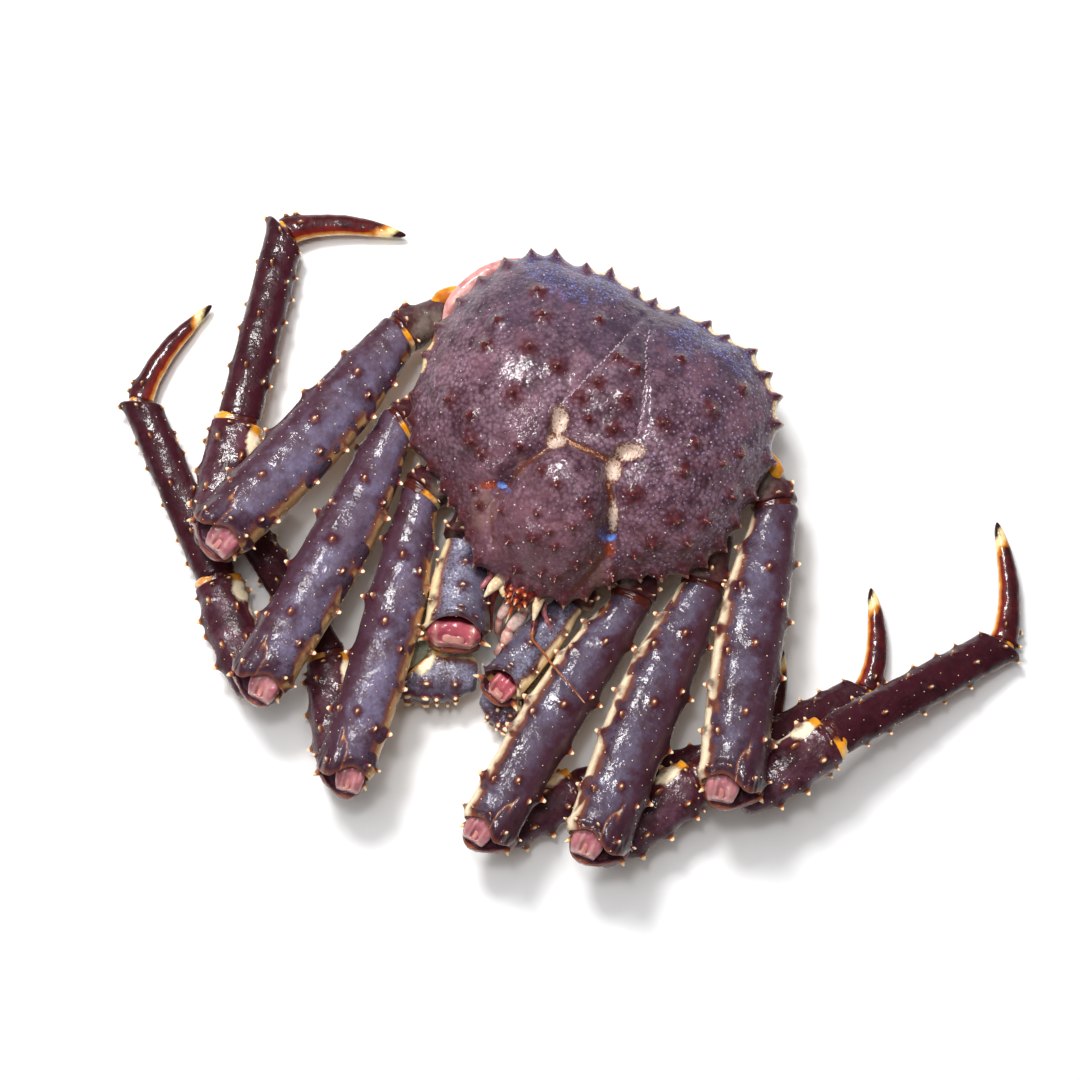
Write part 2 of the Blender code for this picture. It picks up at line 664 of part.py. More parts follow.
def main():
    """Clear the scene and build every piece under one empty."""
    for obj in list(bpy.data.objects):
        bpy.data.objects.remove(obj, do_unlink=True)
    carapace()
    trunk = body()
    abdomen(trunk)
    for name, joints in LEGS.items():
        walking_leg(name, joints)
    for name, joints in CLAWS.items():
        claw_leg(name, joints)
    mouthparts()
    crab = bpy.data.objects.new("crab", None)
    bpy.context.collection.objects.link(crab)
    for obj in bpy.data.objects:
        if obj.type == "MESH":
            obj.parent = crab


main()
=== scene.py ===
"""Looks of a whole raw king crab lying on its belly, its legs folded forwards at the knee.

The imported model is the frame. Every piece of shell is modelled again round its solid, with its
thorns, granules, soft joints and wet finish, and stands for that solid.

Frame: metres, +X to the crab's left, -Y to its front, +Z up, the origin under the middle of the
carapace on the table. Sizes are millimetres where a name or a comment says nothing else.
"""

import logging
import math
from collections.abc import Callable, Sequence
from dataclasses import dataclass, field
from enum import Enum

import bpy
import numpy as np
from mathutils import Matrix, Vector


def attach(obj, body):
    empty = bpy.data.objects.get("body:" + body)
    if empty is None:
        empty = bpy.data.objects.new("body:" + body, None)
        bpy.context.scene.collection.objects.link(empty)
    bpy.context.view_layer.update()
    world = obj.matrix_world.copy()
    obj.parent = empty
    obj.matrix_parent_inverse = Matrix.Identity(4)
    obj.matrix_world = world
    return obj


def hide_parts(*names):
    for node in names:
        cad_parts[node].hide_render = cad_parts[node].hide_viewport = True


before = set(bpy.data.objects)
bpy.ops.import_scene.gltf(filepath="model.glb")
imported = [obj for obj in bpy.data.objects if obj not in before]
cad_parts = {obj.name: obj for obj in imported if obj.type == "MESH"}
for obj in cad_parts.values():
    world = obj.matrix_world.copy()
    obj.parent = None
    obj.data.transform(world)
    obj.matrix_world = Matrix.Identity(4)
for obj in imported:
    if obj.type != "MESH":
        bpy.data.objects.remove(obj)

LOG = logging.getLogger("king_crab")

MM = 0.001
UP = Vector((0, 0, 1))
BODY = "root"

Object, Material, Socket = bpy.types.Object, bpy.types.Material, bpy.types.NodeSocket
Array = np.ndarray
Colour = tuple[float, float, float, float]
Point = tuple[float, float, float]
Pair = tuple[float, float]
Rows = Sequence[Sequence[float]]
Finishes = dict[str, Material]


# ---- Small helpers ----

def mm(values: Sequence[float]) -> Vector:
    """A point given in millimetres, in metres."""
    return Vector(values) * MM


def linear(code: str) -> Colour:
    """Turn an sRGB hex colour into linear light.

    Args:
        code: the colour as "#rrggbb".

    Returns:
        Red, green, blue and an alpha of one.
    """
    parts = [int(code[i:i + 2], 16) / 255 for i in (1, 3, 5)]
    light = [p / 12.92 if p <= 0.04045 else ((p + 0.055) / 1.055) ** 2.4 for p in parts]
    return (*light, 1.0)


def ease(x: Array, low: float, high: float) -> Array:
    """Smooth step from 0 at low to 1 at high."""
    share = np.clip((x - low) / (high - low), 0, 1)
    return share * share * (3 - 2 * share)


def bell(x: Array, width: float) -> Array:
    """Bell curve: 1 at zero, falling off over this width on both sides."""
    return np.exp(-(x / width) ** 2)


def smooth_table(table: Rows, x: Array) -> Array:
    """Smooth curve through (position, value) pairs, level at each of them.

    Args:
        table: the pairs.
        x: positions to read the curve at.

    Returns:
        The values there.
    """
    points = np.array(sorted(table), float)
    index = np.clip(np.searchsorted(points[:, 0], x) - 1, 0, len(points) - 2)
    low, high = points[index], points[index + 1]
    return low[..., 1] + (high[..., 1] - low[..., 1]) * ease(x, low[..., 0], high[..., 0])


def way_along(knots: Array) -> Array:
    """How far along a line each of its corners lies."""
    return np.concatenate([[0], np.cumsum(np.linalg.norm(np.diff(knots, axis=0), axis=1))])


# ---- Working on a mesh ----

def edit_mode(on: bool = True) -> None:
    """Go into edit mode, or back out of it."""
    bpy.ops.object.mode_set(mode="EDIT" if on else "OBJECT")


def deselect_all() -> None:
    """Leave edit mode and select nothing."""
    if bpy.context.mode != "OBJECT":
        edit_mode(False)
    bpy.ops.object.select_all(action="DESELECT")


def take_up(obj: Object) -> None:
    """Make one object the only one selected, and the active one."""
    deselect_all()
    obj.select_set(True)
    bpy.context.view_layer.objects.active = obj


def take_new(name: str) -> Object:
    """The object that was just added, under its own name."""
    obj = bpy.context.object
    obj.name = obj.data.name = name
    return obj


def places(obj: Object) -> Array:
    """Every vertex of an object, one row each."""
    co = np.empty(len(obj.data.vertices) * 3)
    obj.data.vertices.foreach_get("co", co)
    return co.reshape(-1, 3)


def put_places(obj: Object, co: Array) -> None:
    """Move every vertex of an object to its row."""
    obj.data.vertices.foreach_set("co", np.ascontiguousarray(co, np.float32).ravel())
    obj.data.update()


def face_rows(obj: Object, what: str) -> Array:
    """Centre or normal of every face of an object, one row each."""
    rows = np.empty(len(obj.data.polygons) * 3)
    obj.data.polygons.foreach_get(what, rows)
    return rows.reshape(-1, 3)


def put_values(obj: Object, name: str, values: Array) -> None:
    """Write a number or a vector for every vertex as an attribute that a finish reads."""
    mesh = obj.data
    kind, key = ("FLOAT", "value") if values.ndim == 1 else ("FLOAT_VECTOR", "vector")
    attribute = mesh.attributes.get(name) or mesh.attributes.new(name, kind, "POINT")
    attribute.data.foreach_set(key, np.ascontiguousarray(values, np.float32).ravel())


def get_values(obj: Object, name: str, width: int = 3) -> Array:
    """Read an attribute back: one column for numbers, three for vectors."""
    rows = np.zeros(len(obj.data.vertices) * width, np.float32)
    attribute = obj.data.attributes.get(name)
    if attribute is not None:
        attribute.data.foreach_get("value" if width == 1 else "vector", rows)
    return rows.astype(float) if width == 1 else rows.reshape(-1, width).astype(float)


def pick_faces(obj: Object, faces: Sequence[int]) -> None:
    """Select exactly these faces of an object, in edit mode."""
    take_up(obj)
    mesh = obj.data
    chosen = np.zeros(len(mesh.polygons), bool)
    chosen[list(faces)] = True
    mesh.vertices.foreach_set("select", np.zeros(len(mesh.vertices), bool))
    mesh.edges.foreach_set("select", np.zeros(len(mesh.edges), bool))
    mesh.polygons.foreach_set("select", chosen)
    bpy.context.tool_settings.mesh_select_mode = (False, False, True)
    edit_mode()


def extrude(step: Sequence[float]) -> None:
    """Extrude what is selected by a step in metres."""
    bpy.ops.mesh.extrude_region_move(TRANSFORM_OT_translate={"value": step})


def face_outwards(obj: Object) -> None:
    """Turn every face of a closed mesh outwards."""
    take_up(obj)
    edit_mode()
    bpy.ops.mesh.select_all(action="SELECT")
    bpy.ops.mesh.normals_make_consistent(inside=False)
    edit_mode(False)


def apply_modifier(obj: Object, kind: str, **settings: object) -> None:
    """Add one modifier, set it up and apply it.

    Args:
        obj: the object.
        kind: the modifier's type.
        settings: its properties.
    """
    take_up(obj)
    bpy.ops.object.modifier_add(type=kind)
    modifier = obj.modifiers[-1]
    for name, value in settings.items():
        setattr(modifier, name, value)
    bpy.ops.object.modifier_apply(modifier=modifier.name)


def refine(obj: Object, levels: int = 2) -> None:
    """Round a mesh off with a subdivision surface."""
    apply_modifier(obj, "SUBSURF", levels=levels, render_levels=levels)


def roughen(obj: Object, *patterns: Pair) -> None:
    """Push a surface in and out by uneven patterns.

    Args:
        obj: the object, in its final place.
        patterns: size of one bump and full height of each pattern, in millimetres.
    """
    for grain, depth in patterns:
        clouds = bpy.data.textures.new(f"uneven_{grain}", "CLOUDS")
        clouds.noise_scale = grain * MM
        clouds.noise_depth = 2
        apply_modifier(obj, "DISPLACE", texture=clouds, strength=depth * MM, mid_level=0.5,
                       texture_coords="LOCAL")


def nearest_faces(obj: Object, targets: Array, facing: Array | None = None,
                  allowed: Array | None = None) -> list[int]:
    """The face nearest to each target, no face twice.

    Args:
        obj: the object.
        targets: one wanted place in a row.
        facing: a direction for each target, where the face must look roughly that way.
        allowed: which faces may be taken.

    Returns:
        Face numbers in the order of the targets.
    """
    turned_away = 0.02  # metres that a face looking sideways counts as farther off
    centres, normals = face_rows(obj, "center"), face_rows(obj, "normal")
    free = np.ones(len(centres), bool) if allowed is None else allowed.copy()
    found = []
    for i, target in enumerate(targets):
        far = np.linalg.norm(centres - target, axis=1)
        if facing is not None:
            far = far + turned_away * (1 - normals @ facing[i])
        far[~free] = np.inf
        found.append(int(np.argmin(far)))
        free[found[-1]] = False
    return found


def join_pieces(pieces: Sequence[Object], name: str = "") -> Object:
    """Join meshes into the first of them, and rename it where a name is given."""
    take_up(pieces[0])
    for piece in pieces[1:]:
        piece.select_set(True)
    bpy.ops.object.join()
    return take_new(name) if name else pieces[0]


def stamp(name: str, shapes: Array, pattern: Sequence[Sequence[int]]) -> Object:
    """Make one object of many small closed shapes with the same faces.

    Args:
        name: the new object's name.
        shapes: the corners of every shape, shape by shape.
        pattern: the faces of one of them.

    Returns:
        The object.
    """
    each = shapes.shape[1]
    faces = [tuple(v + k * each for v in face) for k in range(len(shapes)) for face in pattern]
    mesh = bpy.data.meshes.new(name)
    mesh.from_pydata(shapes.reshape(-1, 3).tolist(), [], faces)
    obj = bpy.data.objects.new(name, mesh)
    bpy.context.scene.collection.objects.link(obj)
    return obj


# ---- Thorns and granules ----

@dataclass(frozen=True)
class Thorn:
    """One kind of thorn: rings of (radius, height) up to its blunt tip, the reach of the dark
    collar round it, the height and reach of the swelling that it stands on, and how pale it gets.
    """

    rings: tuple[Pair, ...]
    collar: float
    mound: float
    mound_reach: float
    paleness: float = 1.0


DOME_THORN = Thorn(((2.9, 0.5), (1.8, 1.5), (0.9, 2.6), (0.4, 3.2)), 6.2, 2.0, 5.0, 0.5)
FRONT_THORN = Thorn(((1.9, 0.5), (1.2, 1.3), (0.8, 2.1), (0.45, 2.7)), 4.8, 1.3, 3.6, 0.6)
MERUS_THORN = Thorn(((1.9, 0.5), (1.3, 1.2), (1.05, 1.8), (0.8, 2.4)), 4.6, 0.9, 3.6)
EDGE_THORN = Thorn(((2.3, 0.7), (1.6, 1.6), (1.15, 2.5), (0.8, 3.2)), 6.4, 1.3, 4.4)
SMALL_THORN = Thorn(((1.5, 0.4), (1.1, 1.2), (0.85, 1.9), (0.6, 2.5)), 2.6, 0.5, 2.4)


class ThornBed:
    """The thorns of one piece of shell: raised from faces, then painted on the fine mesh."""

    def __init__(self) -> None:
        """Start with no thorns."""
        self.seats: list[tuple[Array, Array, Thorn]] = []

    def raise_on(self, obj: Object, faces: Sequence[int], thorn: Thorn) -> None:
        """Draw each face in, ring by ring, and pull it out to a blunt tip.

        Args:
            obj: the piece, before it is refined.
            faces: the faces that carry a thorn.
            thorn: its kind.
        """
        if not len(faces):
            return
        centres, aims = face_rows(obj, "center")[faces], face_rows(obj, "normal")[faces]
        pick_faces(obj, faces)
        for radius, height in thorn.rings:
            bpy.ops.mesh.inset(thickness=0.05 * MM, use_individual=True)
            edit_mode(False)
            co = places(obj)
            for face in (p for p in obj.data.polygons if p.select):
                ring = list(face.vertices)
                middle = co[ring].mean(axis=0)
                seat = int(np.argmin(np.linalg.norm(centres - middle, axis=1)))
                aim, centre = aims[seat], centres[seat]
                spread = co[ring] - middle
                spread -= np.outer(spread @ aim, aim)
                spread /= np.linalg.norm(spread, axis=1)[:, None]
                co[ring] = centre + aim * height * MM + spread * radius * MM
            put_places(obj, co)
            edit_mode()
        edit_mode(False)
        self.seats += [(centre, aim, thorn) for centre, aim in zip(centres, aims)]

    def paint(self, obj: Object) -> None:
        """Swell the shell under each thorn, and write how far up a thorn and how near one is."""
        co = places(obj)
        height_up, nearness, lift = np.zeros(len(co)), np.zeros(len(co)), np.zeros_like(co)
        draw = np.random.default_rng(len(co))
        for centre, aim, thorn in self.seats:
            collar = thorn.collar * draw.uniform(0.65, 1.2)
            near = np.nonzero(np.abs(co - centre).max(axis=1) < 3 * thorn.collar * MM)[0]
            offset = co[near] - centre
            up = offset @ aim
            aside = np.linalg.norm(offset - np.outer(up, aim), axis=1)
            tall = thorn.rings[-1][1] * MM
            far = np.hypot(aside, np.maximum(0, np.abs(up) - tall)) / MM
            share = np.where(aside < 1.5 * thorn.rings[0][0] * MM, np.clip(up / tall, 0, 1), 0)
            height_up[near] = np.maximum(height_up[near], share * thorn.paleness)
            nearness[near] = np.maximum(nearness[near], bell(far, collar))
            lift[near] += np.outer(bell(far, thorn.mound_reach) * thorn.mound * MM, aim)
        put_places(obj, co + lift)
        put_values(obj, "spine", height_up)
        put_values(obj, "halo", nearness)


GRANULE_SIDES = 6
# Rings of a granule: radius and height as shares of its size, and how pale it is there.
GRANULE_RINGS = ((1.0, -0.3, 0.25), (0.72, 0.5, 0.75))
GRANULE_TOP = (0.85, 1.0)


def grow_granules(obj: Object, spacing: float, sizes: Pair, seed: int,
                  keep: Callable[[Array, Array], Array],
                  paleness: float = 1.0) -> Object:
    """Scatter small blunt granules over a piece of shell, as one closed mesh each.

    Args:
        obj: the piece, fine and in its final place.
        spacing: mean distance between granules in millimetres.
        sizes: smallest and largest radius in millimetres.
        seed: start of the random draw.
        keep: tells which places, with their normals, may carry one.
        paleness: how pale the tops are.

    Returns:
        The granules as an object of their own, not yet joined.
    """
    mesh, co = obj.data, places(obj)
    mesh.calc_loop_triangles()
    corners = np.empty(len(mesh.loop_triangles) * 3, np.int32)
    mesh.loop_triangles.foreach_get("vertices", corners)
    corners = corners.reshape(-1, 3)
    normals = np.empty(co.size, np.float32)
    mesh.vertex_normals.foreach_get("vector", normals)
    normals = normals.reshape(-1, 3).astype(float)
    cross = np.cross(co[corners[:, 1]] - co[corners[:, 0]], co[corners[:, 2]] - co[corners[:, 0]])
    areas = np.linalg.norm(cross, axis=1) / 2
    draw = np.random.default_rng(seed)
    count = int(areas.sum() / (spacing * MM) ** 2 * 1.3)
    tri = corners[draw.choice(len(areas), count, p=areas / areas.sum())]
    a, b = draw.random(count), draw.random(count)
    a, b = np.where(a + b > 1, 1 - a, a)[:, None], np.where(a + b > 1, 1 - b, b)[:, None]
    place = co[tri[:, 0]] * (1 - a - b) + co[tri[:, 1]] * a + co[tri[:, 2]] * b
    facing = normals[tri[:, 0]]
    facing /= np.linalg.norm(facing, axis=1)[:, None] + 1e-12
    chosen = []
    nearest = (spacing * 0.55 * MM) ** 2
    for i in np.nonzero(keep(place, facing))[0]:
        if not chosen or np.min(np.sum((place[chosen] - place[i]) ** 2, axis=1)) > nearest:
            chosen.append(i)
    place, facing, tri = place[chosen], facing[chosen], tri[chosen]
    size = (sizes[0] + (sizes[1] - sizes[0]) * draw.random(len(chosen))[:, None] ** 2.5) * MM
    helper = np.where(np.abs(facing[:, 2:3]) < 0.9, np.array([[0.0, 0, 1]]), np.array([[1.0, 0, 0]]))
    east = np.cross(helper, facing)
    east /= np.linalg.norm(east, axis=1)[:, None]
    north = np.cross(facing, east)
    points, pale = [], []
    for radius, height, light in GRANULE_RINGS:
        for turn in 2 * math.pi * np.arange(GRANULE_SIDES) / GRANULE_SIDES:
            flat = east * math.cos(turn) + north * math.sin(turn)
            points.append(place + (flat * radius + facing * height) * size)
            pale.append(light)
    points.append(place + facing * GRANULE_TOP[0] * size)
    pale.append(GRANULE_TOP[1])
    pattern = [tuple(range(GRANULE_SIDES))[::-1]]
    for i in range(GRANULE_SIDES):
        j = (i + 1) % GRANULE_SIDES
        pattern.append((i, j, j + GRANULE_SIDES, i + GRANULE_SIDES))
        pattern.append((i + GRANULE_SIDES, j + GRANULE_SIDES, 2 * GRANULE_SIDES))
    piece = stamp(f"{obj.name}_granules", np.stack(points, axis=1), pattern)
    put_values(piece, "spine", np.tile(pale, len(chosen)) * paleness)
    put_values(piece, "limb", np.repeat(get_values(obj, "limb")[tri[:, 0]], len(points), axis=0))
    return piece


# ---- Sweeping a shell along a limb ----

@dataclass
class Segment:
    """A straight frame between two joints: X along it, Y sideways, Z up.

    The end planes face along the given normals, or straight along the segment.
    """

    start: Vector
    end: Vector
    start_facing: Vector | None = None
    end_facing: Vector | None = None
    bow: float = 0.0
    bow_power: float = 1.0
    start_gap: float = 0.25
    end_gap: float = 0.25
    slant_reach: float = 0.3

    def __post_init__(self) -> None:
        """Work out the frame's directions and end slopes."""
        self.length = (self.end - self.start).length
        self.along = (self.end - self.start).normalized()
        self.side = UP.cross(self.along).normalized()
        self.top = self.along.cross(self.side)
        self.first = self.start_gap * MM if self.start_facing else 0.0
        self.last = self.length - (self.end_gap * MM if self.end_facing else 0.0)
        self.start_slope = self.slope(self.start_facing)
        self.end_slope = self.slope(self.end_facing)

    def slope(self, facing: Vector | None) -> Pair:
        """How far along a point moves for each step sideways and up on an end plane."""
        if facing is None:
            return 0.0, 0.0
        towards = facing.dot(self.along)
        return -facing.dot(self.side) / towards, -facing.dot(self.top) / towards

    def rings(self, profile: Rows, wide: float = 1.0, high: float = 1.0,
              across: float = 0.0) -> list[tuple[float, ...]]:
        """Rings to sweep through.

        Args:
            profile: share of the length, width and height of each ring.
            wide: what the widths are shares of, in millimetres.
            high: what the heights are shares of.
            across: how far the rings lie sideways.

        Returns:
            The rings in millimetres, as sweep takes them.
        """
        first, last = self.first / MM, self.last / MM
        return [(first + (last - first) * share, wide * w, high * h, across, 0.0)
                for share, w, h in profile]

    def carry(self, co: Array) -> Array:
        """Put points of the straight frame in their place on the crab."""
        return (np.array(self.start) + np.outer(co[:, 0], self.along) + np.outer(co[:, 1], self.side)
                + np.outer(co[:, 2], self.top))

    def settle(self, co: Array) -> Array:
        """Bow and slant points of the straight frame, and put them in their place on the crab.

        Args:
            co: one point in a row, in the straight frame, in metres.

        Returns:
            The same points in the crab's frame.
        """
        share = np.clip((co[:, 0] - self.first) / (self.last - self.first), 0, 1)
        y = co[:, 1] + self.bow * MM * np.sin(math.pi * share ** self.bow_power)
        z = co[:, 2]
        near_start = np.clip(1 - share / self.slant_reach, 0, 1)
        near_end = np.clip(1 - (1 - share) / self.slant_reach, 0, 1)
        x = co[:, 0] + near_start * (self.start_slope[0] * y + self.start_slope[1] * z)
        x = x + near_end * (self.end_slope[0] * y + self.end_slope[1] * z)
        return self.carry(np.stack([x, y, z], axis=1))


class Ending(Enum):
    """How the far end of a swept shell is closed."""

    ROUND = "round"
    SOCKET = "socket"


SOCKET_DEPTH = 6.0
SOCKET_LIP = 1.3  # thickness of the shell round a socket


def sweep(name: str, stations: Rows, sides: int, squareness: float = 2.3,
          ending: Ending = Ending.ROUND) -> Object:
    """Extrude a ring along X through stations, and close both ends.

    Args:
        name: the new object's name.
        stations: (x, half width, half height, shift y, shift z) of each ring, in millimetres;
            the shifts are zero where they are left out.
        sides: corners of the ring.
        squareness: 2 for an ellipse, more for a rounded rectangle.
        ending: how the far end is closed.

    Returns:
        The object, straight along X and closed.
    """
    deselect_all()
    stations = [(*station, 0.0, 0.0)[:5] for station in stations]
    x, wide, high, across, rise = stations[0]
    bpy.ops.mesh.primitive_circle_add(vertices=sides, radius=MM, fill_type="NGON")
    obj = take_new(name)
    turn = 2 * math.pi * np.arange(sides) / sides
    ring = np.empty((sides, 3))
    ring[:, 0] = x
    ring[:, 1] = across + wide * np.sign(np.cos(turn)) * np.abs(np.cos(turn)) ** (2 / squareness)
    ring[:, 2] = rise + high * np.sign(np.sin(turn)) * np.abs(np.sin(turn)) ** (2 / squareness)
    put_places(obj, ring * MM)
    pick_faces(obj, [0])
    for before, after in zip(stations, stations[1:]):
        extrude(mm((after[0] - before[0], after[3] - before[3], after[4] - before[4])))
        bpy.ops.transform.resize(value=(1, after[1] / before[1], after[2] / before[2]),
                                 center_override=mm((after[0], after[3], after[4])))
    if ending is Ending.SOCKET:
        bpy.ops.mesh.inset(thickness=SOCKET_LIP * MM)
        extrude((-0.3 * SOCKET_DEPTH * MM, 0, 0))
        extrude((-0.7 * SOCKET_DEPTH * MM, 0, 0))
        centre = mm((stations[-1][0] - SOCKET_DEPTH, stations[-1][3], stations[-1][4]))
        bpy.ops.transform.resize(value=(1, 0.8, 0.8), center_override=centre)
    face_outwards(obj)
    return obj


def paint_limb(obj: Object, segment: Segment, half_width: float, half_height: float,
               side_sign: int) -> None:
    """Write where each vertex is on a limb: share of the length, towards the edge, and up.

    Args:
        obj: the piece, still straight.
        segment: its frame.
        half_width: its largest half width in metres.
        half_height: its half height there.
        side_sign: 1 where its edge is on +Y.
    """
    co = places(obj)
    share = (co[:, 0] - segment.first) / (segment.last - segment.first)
    turn = np.arctan2(co[:, 2] / half_height, side_sign * co[:, 1] / half_width)
    put_values(obj, "limb", np.stack([share, np.cos(turn), np.sin(turn)], axis=1))


def paint_plain(obj: Object, share: float, up: float) -> None:
    """Write the same place on a limb for every vertex, on neither flank."""
    put_values(obj, "limb", np.tile([share, 0.0, up], (len(obj.data.vertices), 1)))


def row_targets(stations: Rows, length: float, rows: Rows, side_sign: int,
                spread: Pair) -> tuple[Array, Array]:
    """Places and directions of thorns in rows along a straight limb.

    Args:
        stations: the limb's stations.
        length: its length in millimetres.
        rows: degrees round from the edge, and number of thorns, of each row.
        side_sign: 1 where the edge is on +Y.
        spread: shares of the length between which a row runs.

    Returns:
        The places in metres and the outward directions, one in a row.
    """
    table = np.array(stations)
    found, facing = [], []
    for row, (degrees, count) in enumerate(rows):
        across, up = side_sign * math.cos(math.radians(degrees)), math.sin(math.radians(degrees))
        for i in range(count):
            share = spread[0] + (spread[1] - spread[0]) * (i + 0.5 + 0.25 * (row % 2)) / count
            x = length * min(share, 0.97)
            wide, high = (float(np.interp(x, table[:, 0], table[:, column])) for column in (1, 2))
            found.append((x, wide * across, high * up))
            facing.append((0, across, up))
    return np.array(found) * MM, np.array(facing)


def thread(name: str, points: Sequence[Point], radii: Sequence[float], sides: int = 12,
           wide: float = 1.0, knuckle: float = 0.0) -> Object:
    """Sweep a round rod along a smooth path.

    Args:
        name: the new object's name.
        points: the path's points in millimetres.
        radii: the rod's radius at each of them.
        sides: corners of its section.
        wide: how much wider than high it is.
        knuckle: how much it narrows at each point, where a joint lies, as a share.

    Returns:
        The object, in its place and closed.
    """
    knots = np.array(points, float)
    far = way_along(knots)
    stations = []
    for at in np.linspace(0, far[-1], 6 * (len(knots) - 1) + 1):
        near = np.min(np.abs(at - far))
        radius = float(np.interp(at, far, radii)) * (1 - knuckle * math.exp(-(near / 1.6) ** 2))
        stations.append((float(at), radius * wide, radius))
    obj = sweep(name, stations, sides, 2.0)
    refine(obj, 1)
    co = places(obj) / MM
    tangents = np.gradient(knots, far, axis=0)
    at = np.clip(co[:, 0], 0, far[-1])
    index = np.clip(np.searchsorted(far, at) - 1, 0, len(far) - 2)
    span = (far[index + 1] - far[index])[:, None]
    t = (at[:, None] - far[index][:, None]) / span
    a, b, u, v = knots[index], knots[index + 1], tangents[index] * span, tangents[index + 1] * span
    line = (a * (2 * t ** 3 - 3 * t ** 2 + 1) + u * (t ** 3 - 2 * t ** 2 + t)
            + b * (3 * t ** 2 - 2 * t ** 3) + v * (t ** 3 - t ** 2))
    ahead = (a * (6 * t ** 2 - 6 * t) + u * (3 * t ** 2 - 4 * t + 1) + b * (6 * t - 6 * t ** 2)
             + v * (3 * t ** 2 - 2 * t))
    ahead /= np.linalg.norm(ahead, axis=1)[:, None]
    side = np.cross(np.array([0.0, 0, 1]), ahead)
    side /= np.linalg.norm(side, axis=1)[:, None]
    co = line + side * co[:, 1:2] + np.cross(ahead, side) * co[:, 2:3]
    put_places(obj, co * MM)
    put_values(obj, "limb", np.stack([at / far[-1], np.zeros_like(at), np.full_like(at, 0.5)], 1))
    joint = np.abs(at[:, None] - far[None, 1:-1]).min(axis=1) if knuckle else np.full_like(at, 9.0)
    put_values(obj, "halo", bell(joint, 1.3))
    return obj


def place_piece(obj: Object, finish: Material, nodes: Sequence[str] = ()) -> None:
    """Shade a finished piece, give it its finish, and tie it to the frame.

    Args:
        obj: the piece, with its place in its mesh.
        finish: its material.
        nodes: the solids that it stands for.
    """
    obj.data.materials.clear()
    obj.data.materials.append(finish)
    obj.data.shade_smooth()
    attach(obj, BODY)
    if nodes:
        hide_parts(*nodes)
    LOG.info("%s: %d faces", obj.name, len(obj.data.polygons))


# ---- Finishes ----

# Settings that a kind of node has throughout.
USUAL = {"Math": {"operation": "MULTIPLY_ADD"}, "Mix": {"data_type": "RGBA"}}


class Paint:
    """A material in the making: its shader, the object's coordinates and the colour so far."""

    def __init__(self, name: str, ground: str) -> None:
        """Start a material with its ground colour."""
        self.material = bpy.data.materials.new(name)
        self.material.use_nodes = True
        self.tree = self.material.node_tree
        self.coords = self.add("TexCoord", output="Object")
        self.colour: Socket | Colour = linear(ground)
        # An uneven number round zero, which frays the edge of what is laid.
        self.wander: Socket | None = None

    def feed(self, node: bpy.types.Node, inputs: dict) -> None:
        """Set inputs of a node, or link them to a socket or to the piece's attribute of a name."""
        for key, value in inputs.items():
            if isinstance(value, str):
                value = self.add("Attribute", output="Fac", attribute_name=value)
            if isinstance(value, Socket):
                self.tree.links.new(value, node.inputs[key])
            elif value is not None:
                node.inputs[key].default_value = value

    def add(self, kind: str, *values: object, output: int | str = 0, size: float = 0.0,
            **settings: object) -> Socket:
        """Add one node, set it up and link what feeds it.

        Args:
            kind: the node's type without its "ShaderNode" prefix.
            values: value, source socket or name of an attribute for each input in order, or None.
            output: the output that is handed back, by name or number.
            size: for a pattern, how many millimetres one feature of it is.
            settings: the node's own properties, and inputs by name.

        Returns:
            The chosen output socket.
        """
        node = self.tree.nodes.new(f"ShaderNode{kind}")
        inputs = dict(enumerate(values))
        if size:
            inputs |= {"Vector": self.coords, "Scale": 1 / (size * MM)}
        for name, value in (USUAL.get(kind, {}) | settings).items():
            if name in node.inputs:
                inputs[name] = value
            else:
                setattr(node, name, value)
        self.feed(node, inputs)
        return node.outputs[output]

    def lay(self, code: str, value: Socket | str, low: float, high: float, strength: float = 1.0,
            fray: float = 0.0) -> None:
        """Lay a colour over what is there, where a value runs from low to high.

        Args:
            code: the new colour.
            value: what decides where it lies.
            low: value at which nothing of it shows.
            high: value at which it shows fully.
            strength: how much of it shows there.
            fray: how much of the wander is added to the value.
        """
        if fray:
            value = self.add("Math", self.wander, fray, value)
        mask = self.add("MapRange", value, low, high, 0.0, strength)
        unused = [None] * 5  # inputs of the mix node that only serve numbers and vectors
        self.colour = self.add("Mix", mask, *unused, self.colour, linear(code), output=2)

    def finish(self, relief: Socket, strength: float, depth: float,
               normals: Sequence[str] = ("Normal",), **values: object) -> Material:
        """Close the material with its relief and the shader's values.

        Args:
            relief: the height of the surface.
            strength: how much of the relief shows.
            depth: its depth in millimetres.
            normals: the shader's inputs that take the relief.
            values: what its other inputs get, with "_" for a space.

        Returns:
            The material.
        """
        bump = self.add("Bump", Height=relief, Strength=strength, Distance=depth * MM, output="Normal")
        inputs = {name.replace("_", " "): value for name, value in values.items()}
        inputs |= {"Base Color": self.colour, **dict.fromkeys(normals, bump)}
        self.feed(self.tree.nodes["Principled BSDF"], inputs)
        return self.material


